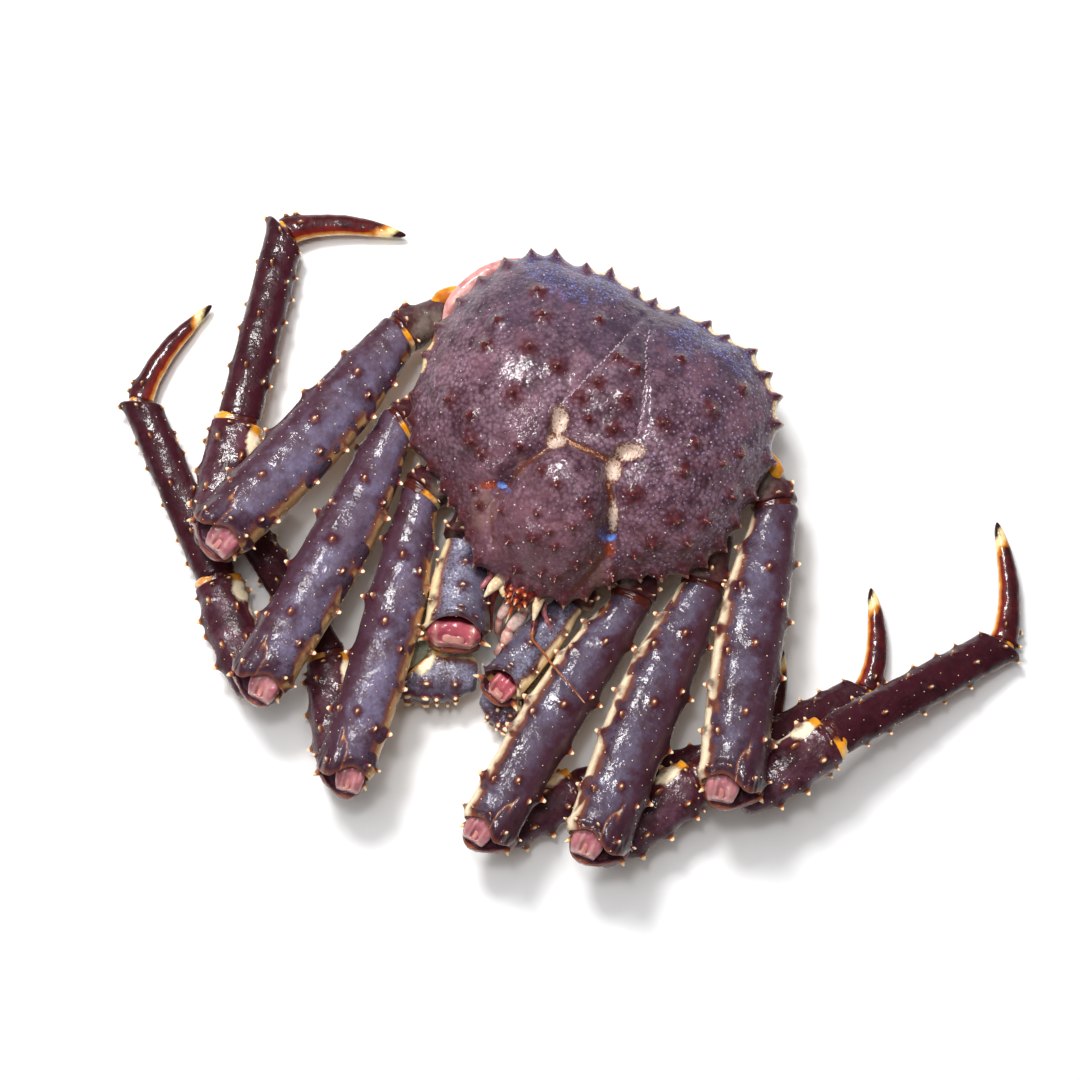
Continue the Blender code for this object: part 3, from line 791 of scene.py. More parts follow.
@dataclass(frozen=True)
class ShellFinish:
    """Raw king crab shell, wet: calcified chitin under a clear film of sea water.

    The colour lies in blotches over a leathery pebbled skin, with painted shade between the pebbles.
    Thorns have dark collars and pale beads for tips. The film gives hard white glints, which the leather
    breaks.
    """

    name: str
    ground: str
    blotch: str
    collar: str
    thorn: str
    tip: str
    speck: str
    # Painted shade, laid in the gaps between the pebbles.
    deep: str = "#2a1018"
    pebble: float = 2.2
    pebble_height: float = 0.5
    speck_strength: float = 0.5
    leather: float = 3.0
    relief: float = 0.4
    roughness: float = 0.42
    film_roughness: float = 0.06
    film_weight: float = 0.85
    film_thin: float = 0.85
    blotch_size: float = 12.0
    blotch_detail: float = 5.0
    blotch_strength: float = 0.95
    pebble_shade: float = 0.5

    def layers(self, paint: Paint) -> None:
        """Add what is this shell's own to the ground colour."""

    def build(self) -> Material:
        """Make the material."""
        paint = Paint(f"wet chitin, {self.name}", self.ground)
        clouds = paint.add("TexNoise", size=self.blotch_size, Detail=self.blotch_detail, Roughness=0.62)
        paint.lay(self.blotch, clouds, 0.4, 0.62, self.blotch_strength)
        mottle = paint.add("TexNoise", size=2.4, Detail=4, Roughness=0.7)
        paint.lay(self.blotch, mottle, 0.48, 0.7, 0.45)
        cells = paint.add("TexVoronoi", size=self.pebble)
        # Painted shade in the gaps between the pebbles, as strong as pebble_shade.
        paint.lay(self.deep, cells, 0.38, 0.75, self.pebble_shade)
        dots = paint.add("MapRange", cells, 0.25, 0.1)
        patches = paint.add("MapRange", paint.add("TexNoise", size=16, Detail=3), 0.44, 0.62, 0.0,
                            self.speck_strength)
        paint.lay(self.speck, paint.add("Math", dots, patches, 0.0), 0.0, 1.0)
        self.layers(paint)
        ragged = paint.add("Math", "halo", paint.add("TexNoise", size=3, Detail=3), 0.0)
        paint.lay(self.collar, ragged, 0.14, 0.42, 0.82)
        paint.lay(self.thorn, "spine", 0.08, 0.32, 0.9)
        paint.lay(self.tip, "spine", 0.42, 0.6)
        leather = paint.add("TexNoise", size=self.leather, Detail=2.5)
        relief = paint.add("Math", cells, -self.pebble_height, leather)
        relief = paint.add("Math", paint.add("TexNoise", size=1.3), 0.3, relief)
        rough = paint.add("MapRange", leather, 0.35, 0.65, self.roughness - 0.08, self.roughness + 0.12)
        film = paint.add("MapRange", paint.add("TexNoise", size=15), 0.42, 0.56, self.film_thin,
                         self.film_weight)
        # Under its film of water the chitin itself shines little, so its IOR is low.
        return paint.finish(relief, 1.0, self.relief, ("Normal", "Coat Normal"), Roughness=rough,
                            IOR=1.28, Coat_Weight=film, Coat_Roughness=self.film_roughness,
                            Coat_IOR=1.38)


@dataclass(frozen=True)
class CarapaceFinish(ShellFinish):
    """The back shell: purple-brown, bluer to the rear and redder to the front, with pale scars."""

    rear: str = "#43394c"
    glint: str = "#6f80cc"
    front: str = "#73464e"
    flush: str = "#875c69"
    lilac: str = "#a292bd"
    tan: str = "#8a665f"
    # Marks that the mesh carries: their attribute, dark and pale colour, and where the pale starts.
    marks: tuple[tuple[str, str, str, float], ...] = (
        ("groove", "#5a2c1e", "#c08c62", 0.5), ("scar", "#6e4232", "#dcc4b4", 0.36),
        ("russet", "#7a3020", "#a84a26", 0.5), ("blue", "#5578c8", "#7fa4ee", 0.4),
        ("rim", "#b5783c", "#f0dcae", 0.4))

    def layers(self, paint: Paint) -> None:
        """Add the bluer rear, the redder front, the grooves, scars, spots and rim line."""
        back = paint.add("SeparateXYZ", paint.coords, output="Y")
        left = paint.add("SeparateXYZ", paint.coords, output="X")
        drift = paint.add("Math", paint.add("TexNoise", size=30, Detail=3), 0.09, back)
        paint.lay(self.rear, drift, 0.06, 0.125, 0.75)
        paint.lay(self.front, drift, 0.03, -0.03, 0.5)
        flush = paint.add("TexNoise", size=22, Detail=4, Roughness=0.6)
        paint.lay(self.flush, flush, 0.54, 0.66, 0.35)
        # Blue streaks where the shell thins out to the rear; drawn at 1.3 mm, the real ones are finer.
        streaks = paint.add("TexNoise", size=1.3, Roughness=0.7)
        streaks = paint.add("Math", streaks, paint.add("MapRange", drift, 0.094, 0.124), 0.0)
        paint.lay(self.glint, streaks, 0.52, 0.66, 0.75)
        dots = paint.add("MapRange", paint.add("TexVoronoi", size=3), 0.26, 0.14)
        dots = paint.add("Math", dots, paint.add("MapRange", left, 0.02, 0.05), 0.0)
        paint.lay(self.lilac, dots, 0.0, 1.0, 0.6)
        tan = paint.add("Math", paint.add("TexNoise", size=7, Detail=4, Roughness=0.6), 1.0, "tan")
        paint.lay(self.tan, tan, 0.7, 1.05, 0.6)
        crumble = paint.add("TexNoise", size=1.8, Detail=4, Roughness=0.65)
        for name, dark, pale, low in self.marks:
            value = paint.add("Math", crumble, 0.5, name)
            paint.lay(dark, value, 0.45, 0.75, 0.9)
            paint.lay(pale, paint.add("Math", value, crumble, 0.0), low, low + 0.2)


@dataclass(frozen=True)
class LimbFinish(ShellFinish):
    """The shell of a leg: slate above with maroon clouds, maroon on the far flank and the ends,
    cream below and in a broken band along one edge, with dark flecks beside the band."""

    flank: str = "#42202a"
    cloud: str = "#35141d"
    edge: str = "#fbe8c6"
    seam: str = "#8a4a22"
    amber: str = "#e0921e"
    belly: str = "#c08a4a"
    fleck: str = "#1c1a24"
    end: str = "#32101a"
    lip: str = "#8a4a2c"
    # Painted shade inside the open knee.
    socket: str = "#2e0a10"
    edge_from: float = 0.74
    gap_depth: float = -0.4
    belly_from: float = -0.4
    end_from: float = 0.86
    flank_from: float = 0.05

    def layers(self, paint: Paint) -> None:
        """Add the flank, clouds, ends, belly, broken band, patches, joint lip and painted socket shade."""
        limb = paint.add("Attribute", output="Vector", attribute_name="limb")
        along, inward, upward = (paint.add("SeparateXYZ", limb, output=axis) for axis in "XYZ")
        patch = paint.add("Attribute", output="Vector", attribute_name="patch")
        wander = paint.add("TexNoise", size=7, Detail=4, Roughness=0.6)
        paint.wander = paint.add("Math", wander, 1.0, -0.5)
        low, band = self.flank_from, self.edge_from
        paint.lay(self.flank, inward, low, low - 0.6, 0.85, 1.6)
        clouds = paint.add("TexNoise", size=17, Detail=3, Roughness=0.55)
        paint.lay(self.cloud, clouds, 0.53, 0.66, 0.6)
        paint.lay(self.cloud, inward, band - 0.4, band, 0.55, 1.4)
        paint.lay(self.end, along, self.end_from, self.end_from + 0.12, 0.8, 0.3)
        paint.lay(self.belly, upward, self.belly_from, self.belly_from - 0.25, fray=0.5)
        gap = paint.add("MapRange", paint.add("TexNoise", size=13, Detail=1), 0.52, 0.62, 0.0,
                        self.gap_depth)
        broken = paint.add("Math", gap, 1.0, inward)
        flecks = paint.add("MapRange", paint.add("TexVoronoi", size=1.9), 0.32, 0.18)
        beside = paint.add("MapRange", inward, band - 0.32, band - 0.12)
        paint.lay(self.fleck, paint.add("Math", flecks, beside, 0.0), 0.2, 0.7, 0.8)
        paint.lay(self.seam, broken, band - 0.2, band, 0.75, 0.16)
        paint.lay(self.edge, broken, band - 0.04, band + 0.12, fray=0.16)
        paint.lay(self.amber, broken, 0.93, 1.02, 0.55, 0.16)
        for axis, code in (("Z", self.cloud), ("X", self.edge), ("Y", self.amber)):
            paint.lay(code, paint.add("SeparateXYZ", patch, output=axis), 0.35, 0.6, fray=0.9)
        paint.lay(self.seam, "crease", 0.3, 0.9, 0.7)
        paint.lay(self.edge, "crease", 0.8, 1.2, 0.6, 0.8)
        paint.lay(self.lip, along, 0.984, 0.998, 0.5, 0.02)
        # Painted shade inside the open knee, where mark_hollow puts the share beyond the end.
        paint.lay(self.socket, along, 1.04, 1.08)


@dataclass(frozen=True)
class DactylFinish(LimbFinish):
    """The shell of a toe: dark red-brown, with an amber edge on its hollow side and a cream band
    before its horny dark point."""

    glow: str = "#7c1f1a"
    cream: str = "#f6dc9c"
    point: str = "#2c0f0e"

    def layers(self, paint: Paint) -> None:
        """Add the red glow, the amber edge, the cream band and the dark point."""
        super().layers(paint)
        limb = paint.add("Attribute", output="Vector", attribute_name="limb")
        along, inward = (paint.add("SeparateXYZ", limb, output=axis) for axis in "XY")
        paint.wander = paint.add("Math", paint.add("TexNoise", size=6, Detail=3), 1.0, -0.5)
        hollow = paint.add("Math", inward, -1.0, 0.0)
        paint.lay(self.glow, hollow, 0.2, 0.7, 0.8, 0.8)
        paint.lay(self.amber, hollow, 0.72, 0.86, 0.95, 0.3)
        paint.lay(self.cream, hollow, 0.9, 0.99, 0.8, 0.3)
        point = paint.add("Math", inward, -0.06, along)
        for code, low, high in ((self.amber, 0.74, 0.79), (self.cream, 0.79, 0.84),
                                (self.point, 0.885, 0.94)):
            paint.lay(code, point, low, high, fray=0.16)


@dataclass(frozen=True)
class SkinFinish:
    """Soft wet tissue: joint skin or raw muscle, which lets a little light in."""

    name: str
    ground: str
    deep: str
    pale: str
    dark: str = "#5a2226"
    streak: float = 3.0
    depth: float = 0.3
    roughness: float = 0.3

    def build(self) -> Material:
        """Make the material."""
        paint = Paint(self.name, self.ground)
        paint.lay(self.deep, paint.add("TexNoise", size=self.streak * 2.5, Detail=3), 0.42, 0.6)
        fine = paint.add("TexNoise", size=self.streak, Detail=4)
        # Where the dark attribute is high: painted shade on the knee muscle and on the left legs' hip
        # skin, the skin's own dark colour elsewhere.
        for code, name, share, low, high in ((self.pale, "pale", 0.6, 0.36, 1.0),
                                             (self.dark, "dark", 0.5, 0.5, 0.9)):
            paint.lay(code, paint.add("Math", fine, share, name), low, high)
        return paint.finish(fine, 0.8, self.depth, Roughness=self.roughness, IOR=1.4, Coat_Weight=0.5,
                            Coat_Roughness=0.08, Coat_IOR=1.34, Subsurface_Weight=0.12,
                            Subsurface_Radius=(1.0, 0.35, 0.2), Subsurface_Scale=2 * MM)


UPPER_LEG = dict(tip="#f8dcb4", speck="#9c90aa", speck_strength=0.3, relief=0.36, leather=3.4,
                 pebble_height=0.1, film_roughness=0.04, film_thin=0.3, blotch_size=22.0,
                 blotch_detail=3.0, blotch_strength=0.8, pebble_shade=0.14)
LOWER_LEG = dict(thorn="#a8562a", tip="#f6d8a8", relief=0.36, leather=3.4, pebble_shade=0.2, pebble_height=0.1,
                 edge_from=1.3)
FRONT_PART = dict(edge_from=1.3, relief=0.1, deep="#4a1410", cloud="#6a1c16")
FINISHES = {
    "carapace": CarapaceFinish(
        "carapace", "#826270", "#482a35", "#4c1619", "#6a2420", "#e2ac94", "#b8a6bd", relief=0.36,
        pebble_height=0.36, leather=3.4, pebble_shade=0.65, film_roughness=0.04),
    "granule": ShellFinish(
        "granule", "#8f7884", "#7c626e", "#6e4a52", "#a9929c", "#cbb8c0", "#b8a8b4"),
    # Left and right copies of one finish. They differ partly by painted shade: the left legs' ground is
    # darker, and the right legs' band is tan where the left legs' is cream, on sides turned away from the
    # light; partly by their own colour.
    "upper_left": LimbFinish(
        "left upper leg", "#5d5369", "#44303e", "#3f121a", "#a0522c", belly="#c8924e",
        gap_depth=-0.2, **UPPER_LEG),
    "upper_right": LimbFinish(
        "right upper leg", "#6d637e", "#55404f", "#421420", "#a0522c", edge="#d8ae76",
        edge_from=0.82, **UPPER_LEG),
    "hip": LimbFinish(
        "hip segment", "#7c6e62", "#543c38", "#3f121a", "#8a4a2c", edge_from=0.9, end="#5a2a30",
        lip="#c08a98", **UPPER_LEG),
    "lower": LimbFinish(
        "lower leg", "#40141f", "#2b0b13", "#260a0e", speck="#7a4c58", speck_strength=0.25,
        film_thin=0.3, belly_from=-0.5, flank="#3a101c", end="#34101a", belly="#9a5a24", **LOWER_LEG),
    "carpus": LimbFinish(
        "wrist segment", "#5c3a48", "#3e1720", "#360e14", speck="#8a6a7c", speck_strength=0.3,
        film_thin=0.15, belly_from=-0.35, flank="#5a2a34", end="#451420", belly="#9a6426", **LOWER_LEG),
    "dactyl": DactylFinish(
        "toe", "#350d10", "#561417", "#280a0b", "#a8562a", "#f8dfa8", "#8a4a44", speck_strength=0.3,
        relief=0.16, edge_from=1.3, belly_from=-0.75, flank="#3e0f13", end="#360e12", end_from=1.3,
        lip="#4a1417", belly="#8a4a1c", amber="#d07a14"),
    "claw": LimbFinish(
        "claw leg", "#8d8aa0", "#757086", "#421420", "#a0522c", "#f6dfb8", "#b4b2c4", pebble=1.3,
        speck_strength=0.4, relief=0.3, leather=3.6, end_from=0.9, flank="#4f4759", edge_from=0.64,
        edge="#f2dcae", gap_depth=-0.1),
    "palm": LimbFinish(
        "palm", "#b9bda4", "#a3a58c", "#6a4a36", "#8a5a34", "#f0dfb8", "#d9dcc8", relief=0.15,
        flank="#8e8f7c", cloud="#8a8a70", deep="#7a7a60", end="#b8a070", belly="#d8cfae"),
    "belly": LimbFinish(
        "belly", "#b08a5e", "#7d5636", "#6a3a26", "#8a4a2a", "#f0d8ac", "#d8c59a", relief=0.3,
        edge_from=1.3, end_from=1.3, flank="#a87c50", cloud="#6e452e", deep="#5c3420"),
    "joint_skin": SkinFinish("wet joint skin", "#e2981c", "#b8641a", "#f8e8b8", "#4a1a14", streak=4.0),
    "pink_skin": SkinFinish("wet gill-cover skin", "#d49a94", "#b4706e", "#efcfc2"),
    "muscle": SkinFinish("raw crab muscle", "#b85964", "#9c4452", "#dca898", "#4a101c", streak=4.0,
                         roughness=0.2, depth=0.25),
    "pale_muscle": SkinFinish("raw crab muscle, walking leg", "#bd7c80", "#a8606a", "#dcb0a8",
                              "#5a1c26", streak=4.0),
    "tendon": SkinFinish("wet tendon", "#c4847c", "#b07068", "#e0b8a4", "#8a4a3c", streak=2.4,
                         depth=0.15),
    "mouth": LimbFinish(
        "jaw leg", "#f0d4cc", "#dca89c", "#a05044", "#b4604c", "#f8ece0", "#f4e4dc", relief=0.1,
        edge_from=1.3, flank="#e8c4b8", cloud="#d89c90", deep="#b87868", end="#b4523c",
        belly="#e8d4c4"),
    "feeler": LimbFinish(
        "feeler", "#7a3230", "#5a2024", "#4a1618", "#b0481c", "#f0b070", "#c07a50",
        flank="#642420", end="#a85c34", belly="#7c3424", **FRONT_PART),
    "whip": LimbFinish(
        "feeler whip", "#b06a3c", "#98502c", "#8a4428", "#d09060", "#ecc898", "#d8a878",
        flank="#a0603a", end="#d8a070", belly="#a05c34", **FRONT_PART),
    "rostrum": LimbFinish(
        "rostrum", "#963722", "#6c2220", "#6a1e18", "#c8582a", "#f8cf9a", "#d89068",
        flank="#8c2c20", end="#b0602e", belly="#8c3c24", **FRONT_PART),
    "barb": LimbFinish(
        "pink barb", "#b06a70", "#94505c", "#8a3c40", "#d89890", "#fbeee2", "#d8a8a0",
        flank="#8c4a50", end="#c07868", belly="#a86460", **FRONT_PART),
    "scale": LimbFinish(
        "feeler scale", "#f2e2c0", "#e4c694", "#b4603c", "#c87848", "#f6ead2", "#f4e6cc", relief=0.08,
        edge_from=1.3, flank="#c07a4a", end="#f0e2c4", cloud="#d8a868", deep="#c8a078",
        belly="#e8d0a8"),
}


# ---- Carapace ----

@dataclass(frozen=True)
class Groove:
    """A line on the dome: its corners, its depth, half width and paleness."""

    line: tuple[Pair, ...]
    depth: float
    half_width: float
    pale: float

    def distance(self, x: Array, y: Array) -> Array:
        """Distance from each place to the line, in mm."""
        best = np.full_like(x, np.inf)
        for start, end in zip(np.array(self.line[:-1], float), np.array(self.line[1:], float)):
            step = end - start
            offset = np.stack([x, y], axis=-1) - start
            share = np.clip(offset @ step / (step @ step), 0, 1)
            best = np.minimum(best, np.linalg.norm(offset - share[..., None] * step, axis=-1))
        return best


@dataclass
class Carapace:
    """The domed back shell: its regions, grooves, thorns, scalloped spiny rim and granules."""

    cells: int = 56
    rim_radii: tuple[Pair, ...] = (
        (90, 91), (70, 98), (53, 109), (38, 112), (20, 107), (0, 101), (-20, 97), (-40, 82),
        (-55, 80), (-72, 86), (-90, 87))
    rim_z: float = 49.0
    rim_thickness: float = 3.5
    underside: tuple[float, ...] = (0.985, 0.8, 0.61)
    dome_height: float = 40.0
    dome_power: float = 2.4
    dome_rounding: float = 0.68
    # Raised regions: centre x, y, half-width x, y, height, and steepness of their sides.
    regions: tuple[tuple[float, ...], ...] = (
        (7, -46, 28, 36, 10.8, 2.8), (6, 28, 17, 24, 5.0, 1.4), (-50, 12, 30, 42, 5.5, 1.2),
        (60, 8, 30, 42, 5.5, 1.2))
    grooves: tuple[Groove, ...] = (
        Groove(((-12, -8), (3, -9), (16, -9), (25, -7)), 4.2, 3.4, 0.95),
        Groove(((-11, 2), (-11, -16), (-15, -23), (-21, -31), (-24, -40)), 6.4, 4.6, 0.62),
        Groove(((-24, -40), (-27, -56), (-18, -72)), 5.6, 5.4, 0.35),
        Groove(((-24, -40), (-38, -46), (-56, -52)), 2.6, 4.5, 0.3),
        Groove(((28, -1), (24, -10), (26, -21), (31, -27), (36, -42)), 7.2, 4.8, 0.8),
        Groove(((36, -42), (39, -50), (36, -62), (31, -76)), 6.2, 5.4, 0.55),
        Groove(((36, -42), (46, -50), (60, -56)), 2.2, 4.5, 0.2),
        Groove(((-15, 9), (-10, 20), (-4, 41), (0, 56), (3, 76)), 2.0, 2.6, 0.0),
        Groove(((29, 11), (26, 23), (20, 41), (12, 61), (8, 84)), 2.2, 2.4, 0.0))
    dome_thorns: tuple[Pair, ...] = (
        (-55, 63), (-43, 49), (-17, 62), (-65, 40), (-64, 21), (-41, 3), (-26, 24), (-70, -13),
        (-55, -18), (-50, -28), (-25, -21), (-44, 28), (3, 43), (15, 42), (0, 27), (18, 25), (2, 7),
        (15, 9), (-7, 16), (32, 59), (69, 59), (59, 42), (40, 20), (59, 17), (84, 25), (75, 15),
        (58, 1), (89, 3), (66, -24), (82, -13), (75, -30), (41, -21), (60, -37))
    front_thorns: tuple[Pair, ...] = (
        (1, -36), (17, -35), (-2, -50), (-20, -57), (0, -64), (18, -51), (13, -64), (-1, -79),
        (12, -77), (27, -65), (32, -58), (-9, -31), (-34, -56), (-41, -50), (46, -60), (54, -48),
        (20, -74), (-10, -70), (8, -56), (-44, -34), (24, -42))
    # Marginal thorns: degrees round from +X, and radius of the tip.
    rim_tips: tuple[Pair, ...] = (
        (-172, 95), (174, 100), (164, 102), (154, 106), (145, 111), (136, 116), (128, 116),
        (121, 114), (112, 105), (104, 104), (94, 97), (87, 95), (79, 97), (68, 103), (61, 105),
        (53, 114), (45, 115), (38, 117), (30, 114), (19, 111), (7, 104), (-3, 101), (-12, 102),
        (-20, 99), (-27, 96), (-35, 90), (-42, 84), (-54, 83), (-63, 88), (-71, 93), (-80, 91),
        (-106, 91), (-115, 84), (-123, 78), (-130, 78), (-137, 78), (-146, 84), (-155, 90),
        (-164, 93))
    rim_thorn_width: float = 3.1
    lowest_rim_thorn: float = 4.2
    # Half width of the pale line in a groove.
    pale_width: float = 2.1
    rostrum_tips: tuple[Pair, ...] = ((-88.5, 97), (-92.5, 92), (-84.5, 92))
    # Muscle scars: centre x, y, half-width across and along the crab's lean in the photo.
    scars: tuple[tuple[float, ...], ...] = (
        (-12, 0, 4.6, 7.4), (-9, -11, 5.4, 4.8), (29, 0, 7.8, 4.6), (25, -12, 4.4, 7.0),
        (35, -34, 2.8, 7.0))
    scar_lean: float = 24.5
    blue_spots: tuple[tuple[float, ...], ...] = ((-27, -42, 2.4, 1.7), (38, -43, 2.6, 1.8))
    russet_spots: tuple[tuple[float, ...], ...] = ((-33, -45, 5, 2.4), (40, -49, 3, 4))
    tan_spots: tuple[tuple[float, ...], ...] = ((-31, -58, 8, 13), (39, -62, 7, 12), (-20, -31, 3, 7))
    sutures: tuple[int, ...] = (7, 8)
    obj: Object = field(init=False)

    def rim_radius(self, angle: Array) -> Array:
        """Distance from the centre to the rim in each direction (radians), in mm."""
        degrees = (np.degrees(angle) + 180) % 360 - 180
        degrees = np.where(degrees > 90, 180 - degrees, degrees)
        degrees = np.where(degrees < -90, -180 - degrees, degrees)
        return smooth_table(self.rim_radii, degrees)

    def rim_shift(self, angle: Array) -> Array:
        """How far this crab's rim lies outside the even outline in each direction, in mm."""
        tips = np.array(sorted(self.rim_tips), float)
        tips[:, 1] -= self.rim_radius(np.radians(tips[:, 0]))
        tips = np.concatenate([tips - (360, 0), tips, tips + (360, 0)])
        return np.clip(np.interp(np.degrees(angle), tips[:, 0], tips[:, 1]) - 5.5, -4, 0.5)

    def height(self, x: Array, y: Array) -> Array:
        """Height of the dome over the table at each place, in mm, without its grooves."""
        reach = np.hypot(x, y) / self.rim_radius(np.arctan2(y, x))
        inside = np.maximum(0.0, 1 - reach ** self.dome_power)
        height = self.rim_z + self.dome_height * inside ** self.dome_rounding
        fade = np.maximum(0.0, 1 - reach ** 6)
        for centre_x, centre_y, half_x, half_y, rise, steepness in self.regions:
            bump = ((x - centre_x) / half_x) ** 2 + ((y - centre_y) / half_y) ** 2
            height += rise * fade * np.exp(-bump ** steepness)
        return height

    def spread_grid(self) -> None:
        """Lay a flat grid over the rim's outline and raise it into the dome."""
        deselect_all()
        bpy.ops.mesh.primitive_grid_add(x_subdivisions=self.cells, y_subdivisions=self.cells, size=2)
        self.obj = take_new("carapace_shell")
        co = places(self.obj)
        a, b = co[:, 0], co[:, 1]
        u, v = a * np.sqrt(1 - b * b / 2), b * np.sqrt(1 - a * a / 2)
        reach = np.hypot(u, v)
        reach = 1.2 * reach - 0.2 * reach ** 3
        angle = np.arctan2(v, u)
        x, y = (reach * self.rim_radius(angle) * wave for wave in (np.cos(angle), np.sin(angle)))
        z = self.height(x, y)
        radius = reach * (self.rim_radius(angle) + self.rim_shift(angle) * reach ** 3)
        put_places(self.obj, np.stack([radius * np.cos(angle), radius * np.sin(angle), z], 1) * MM)

    def rim_edges(self) -> None:
        """Select the open edge of the shell, in edit mode."""
        take_up(self.obj)
        bpy.context.tool_settings.mesh_select_mode = (False, True, False)
        edit_mode()
        bpy.ops.mesh.select_all(action="SELECT")
        bpy.ops.mesh.region_to_loop()

    def turn_under(self) -> None:
        """Extrude the rim down and then in under the dome."""
        self.rim_edges()
        drop = -self.rim_thickness
        for share in self.underside:
            extrude(mm((0, 0, drop)))
            bpy.ops.transform.resize(value=(share, share, 1), center_override=(0, 0, 0))
            drop = 0.0
        face_outwards(self.obj)

    def raise_thorns(self) -> ThornBed:
        """Pull the dome's thorns out of the mesh."""
        bed = ThornBed()
        for spots, thorn in ((self.dome_thorns, DOME_THORN), (self.front_thorns, FRONT_THORN)):
            table = np.array(spots, float)
            targets = np.column_stack([table, self.height(table[:, 0], table[:, 1])]) * MM
            upper = face_rows(self.obj, "normal")[:, 2] > 0.25
            bed.raise_on(self.obj, nearest_faces(self.obj, targets, allowed=upper), thorn)
        return bed

    def close_under(self) -> None:
        """Close the underside with one flat face, which the trunk hides."""
        self.rim_edges()
        bpy.ops.mesh.edge_face_add()
        face_outwards(self.obj)

    def spot_mask(self, x: Array, y: Array, spots: Rows) -> Array:
        """How strongly each place lies in one of some leaning oval spots."""
        mask = np.zeros_like(x)
        lean = math.radians(self.scar_lean)
        for centre_x, centre_y, half_across, half_along in spots:
            across = (x - centre_x) * math.cos(lean) + (y - centre_y) * math.sin(lean)
            along = (y - centre_y) * math.cos(lean) - (x - centre_x) * math.sin(lean)
            far = (across / half_across) ** 2 + (along / half_along) ** 2
            mask = np.maximum(mask, np.exp(-far * far * 0.7))
        return mask

    def carve(self) -> None:
        """Sink the grooves and scars into the dome, and draw the rim out into thorns."""
        co = places(self.obj) / MM
        x, y, z = co.T.copy()
        angle, radius = np.arctan2(y, x), np.hypot(x, y)
        base = self.rim_radius(angle) + self.rim_shift(angle)
        upper = (z > self.rim_z - 0.5) * np.maximum(0, 1 - (radius / base) ** 8)
        pale = np.zeros_like(x)
        for groove in self.grooves:
            far = groove.distance(x, y)
            co[:, 2] -= groove.depth * bell(far, groove.half_width) * upper
            pale = np.maximum(pale, groove.pale * bell(far, self.pale_width))
        scar = self.spot_mask(x, y, self.scars)
        co[:, 2] += upper * (2.2 * scar - 3.0 * scar ** 3 + 0.8 * scar * np.sin(2.4 * x + 1.6 * y))
        near_rim = ease(radius / base, 0.94, 0.995)
        cusp, share = np.zeros_like(x), np.zeros_like(x)
        for tips, narrow in ((self.rim_tips, 1.0), (self.rostrum_tips, 0.6)):
            for degrees, tip in tips:
                own = math.radians(degrees)
                arc = np.abs((angle - own + math.pi) % (2 * math.pi) - math.pi) * base
                foot = float(self.rim_radius(np.array(own)) + self.rim_shift(np.array(own)))
                tall = max(self.lowest_rim_thorn, tip - foot)
                point = np.exp(-arc / (self.rim_thorn_width * narrow))
                share = np.maximum(share, point)
                cusp = np.maximum(cusp, tall * point)
        pull = cusp * near_rim
        co[:, 0] += pull * np.cos(angle)
        co[:, 1] += pull * np.sin(angle)
        middle = self.rim_z - self.rim_thickness / 2
        flat = near_rim * share * 0.8 * (np.abs(z - middle) < 4)
        co[:, 2] = co[:, 2] * (1 - flat) + middle * flat + 0.18 * pull
        put_places(self.obj, co * MM)
        degrees = np.degrees(angle)
        rear = ease(degrees, 20, 40) * (1 - ease(degrees, 104, 118)) + ease(degrees, 165, 172)
        line = ease(radius / base, 0.958, 0.982) * (z > self.rim_z - 1.2) * np.clip(rear, 0, 1)
        line *= 1 - ease(share, 0.3, 0.6)
        on_rim = near_rim * (np.abs(z - middle) < 6)
        spine, halo = (get_values(self.obj, name, 1) for name in ("spine", "halo"))
        near_tip = bell(base - radius, 6) * share ** 0.4 * (1 - line)
        for name, values in (("groove", pale), ("scar", scar),
                             ("blue", self.spot_mask(x, y, self.blue_spots)),
                             ("russet", self.spot_mask(x, y, self.russet_spots) * 0.8),
                             ("tan", self.spot_mask(x, y, self.tan_spots) * 0.5), ("rim", 1.3 * line),
                             ("spine", np.maximum(spine, on_rim * share ** 1.5 * 0.7)),
                             ("halo", np.maximum(halo, near_tip))):
            put_values(self.obj, name, values)

    def lay_sutures(self) -> Object:
        """Set a row of pale beads along each seam of the dome."""
        spacing, stretch = 1.25, np.array([1.1, 1.3, 0.7])
        rows = []
        for number in self.sutures:
            knots = np.array(self.grooves[number].line, float)
            far = way_along(knots)
            at = np.arange(0, far[-1] - 14, spacing)
            rows.append(np.stack([np.interp(at, far, knots[:, 0]), np.interp(at, far, knots[:, 1])], 1))
        spots = np.concatenate(rows)
        draw = np.random.default_rng(5)
        spots += draw.normal(0, 0.18, spots.shape)
        co = places(self.obj) / MM
        top = co[co[:, 2] > self.rim_z]
        deselect_all()
        bpy.ops.mesh.primitive_ico_sphere_add(subdivisions=2, radius=1)
        model = bpy.context.object
        shape = places(model)
        beads = []
        for spot, size in zip(spots, draw.uniform(0.35, 0.62, len(spots))):
            seat = top[np.argmin(np.sum((top[:, :2] - spot) ** 2, axis=1))]
            beads.append(shape * size * stretch + seat)
        pattern = [tuple(face.vertices) for face in model.data.polygons]
        piece = stamp("carapace_seam_beads", np.array(beads) * MM, pattern)
        put_values(piece, "spine", np.full(len(piece.data.vertices), 0.4))
        bpy.data.objects.remove(model)
        return piece

    def build(self, finishes: Finishes) -> None:
        """Model the carapace and dress it."""
        self.spread_grid()
        self.turn_under()
        bed = self.raise_thorns()
        refine(self.obj)
        self.close_under()
        bed.paint(self.obj)
        self.carve()
        roughen(self.obj, (6.0, 0.6), (2.6, 0.18))

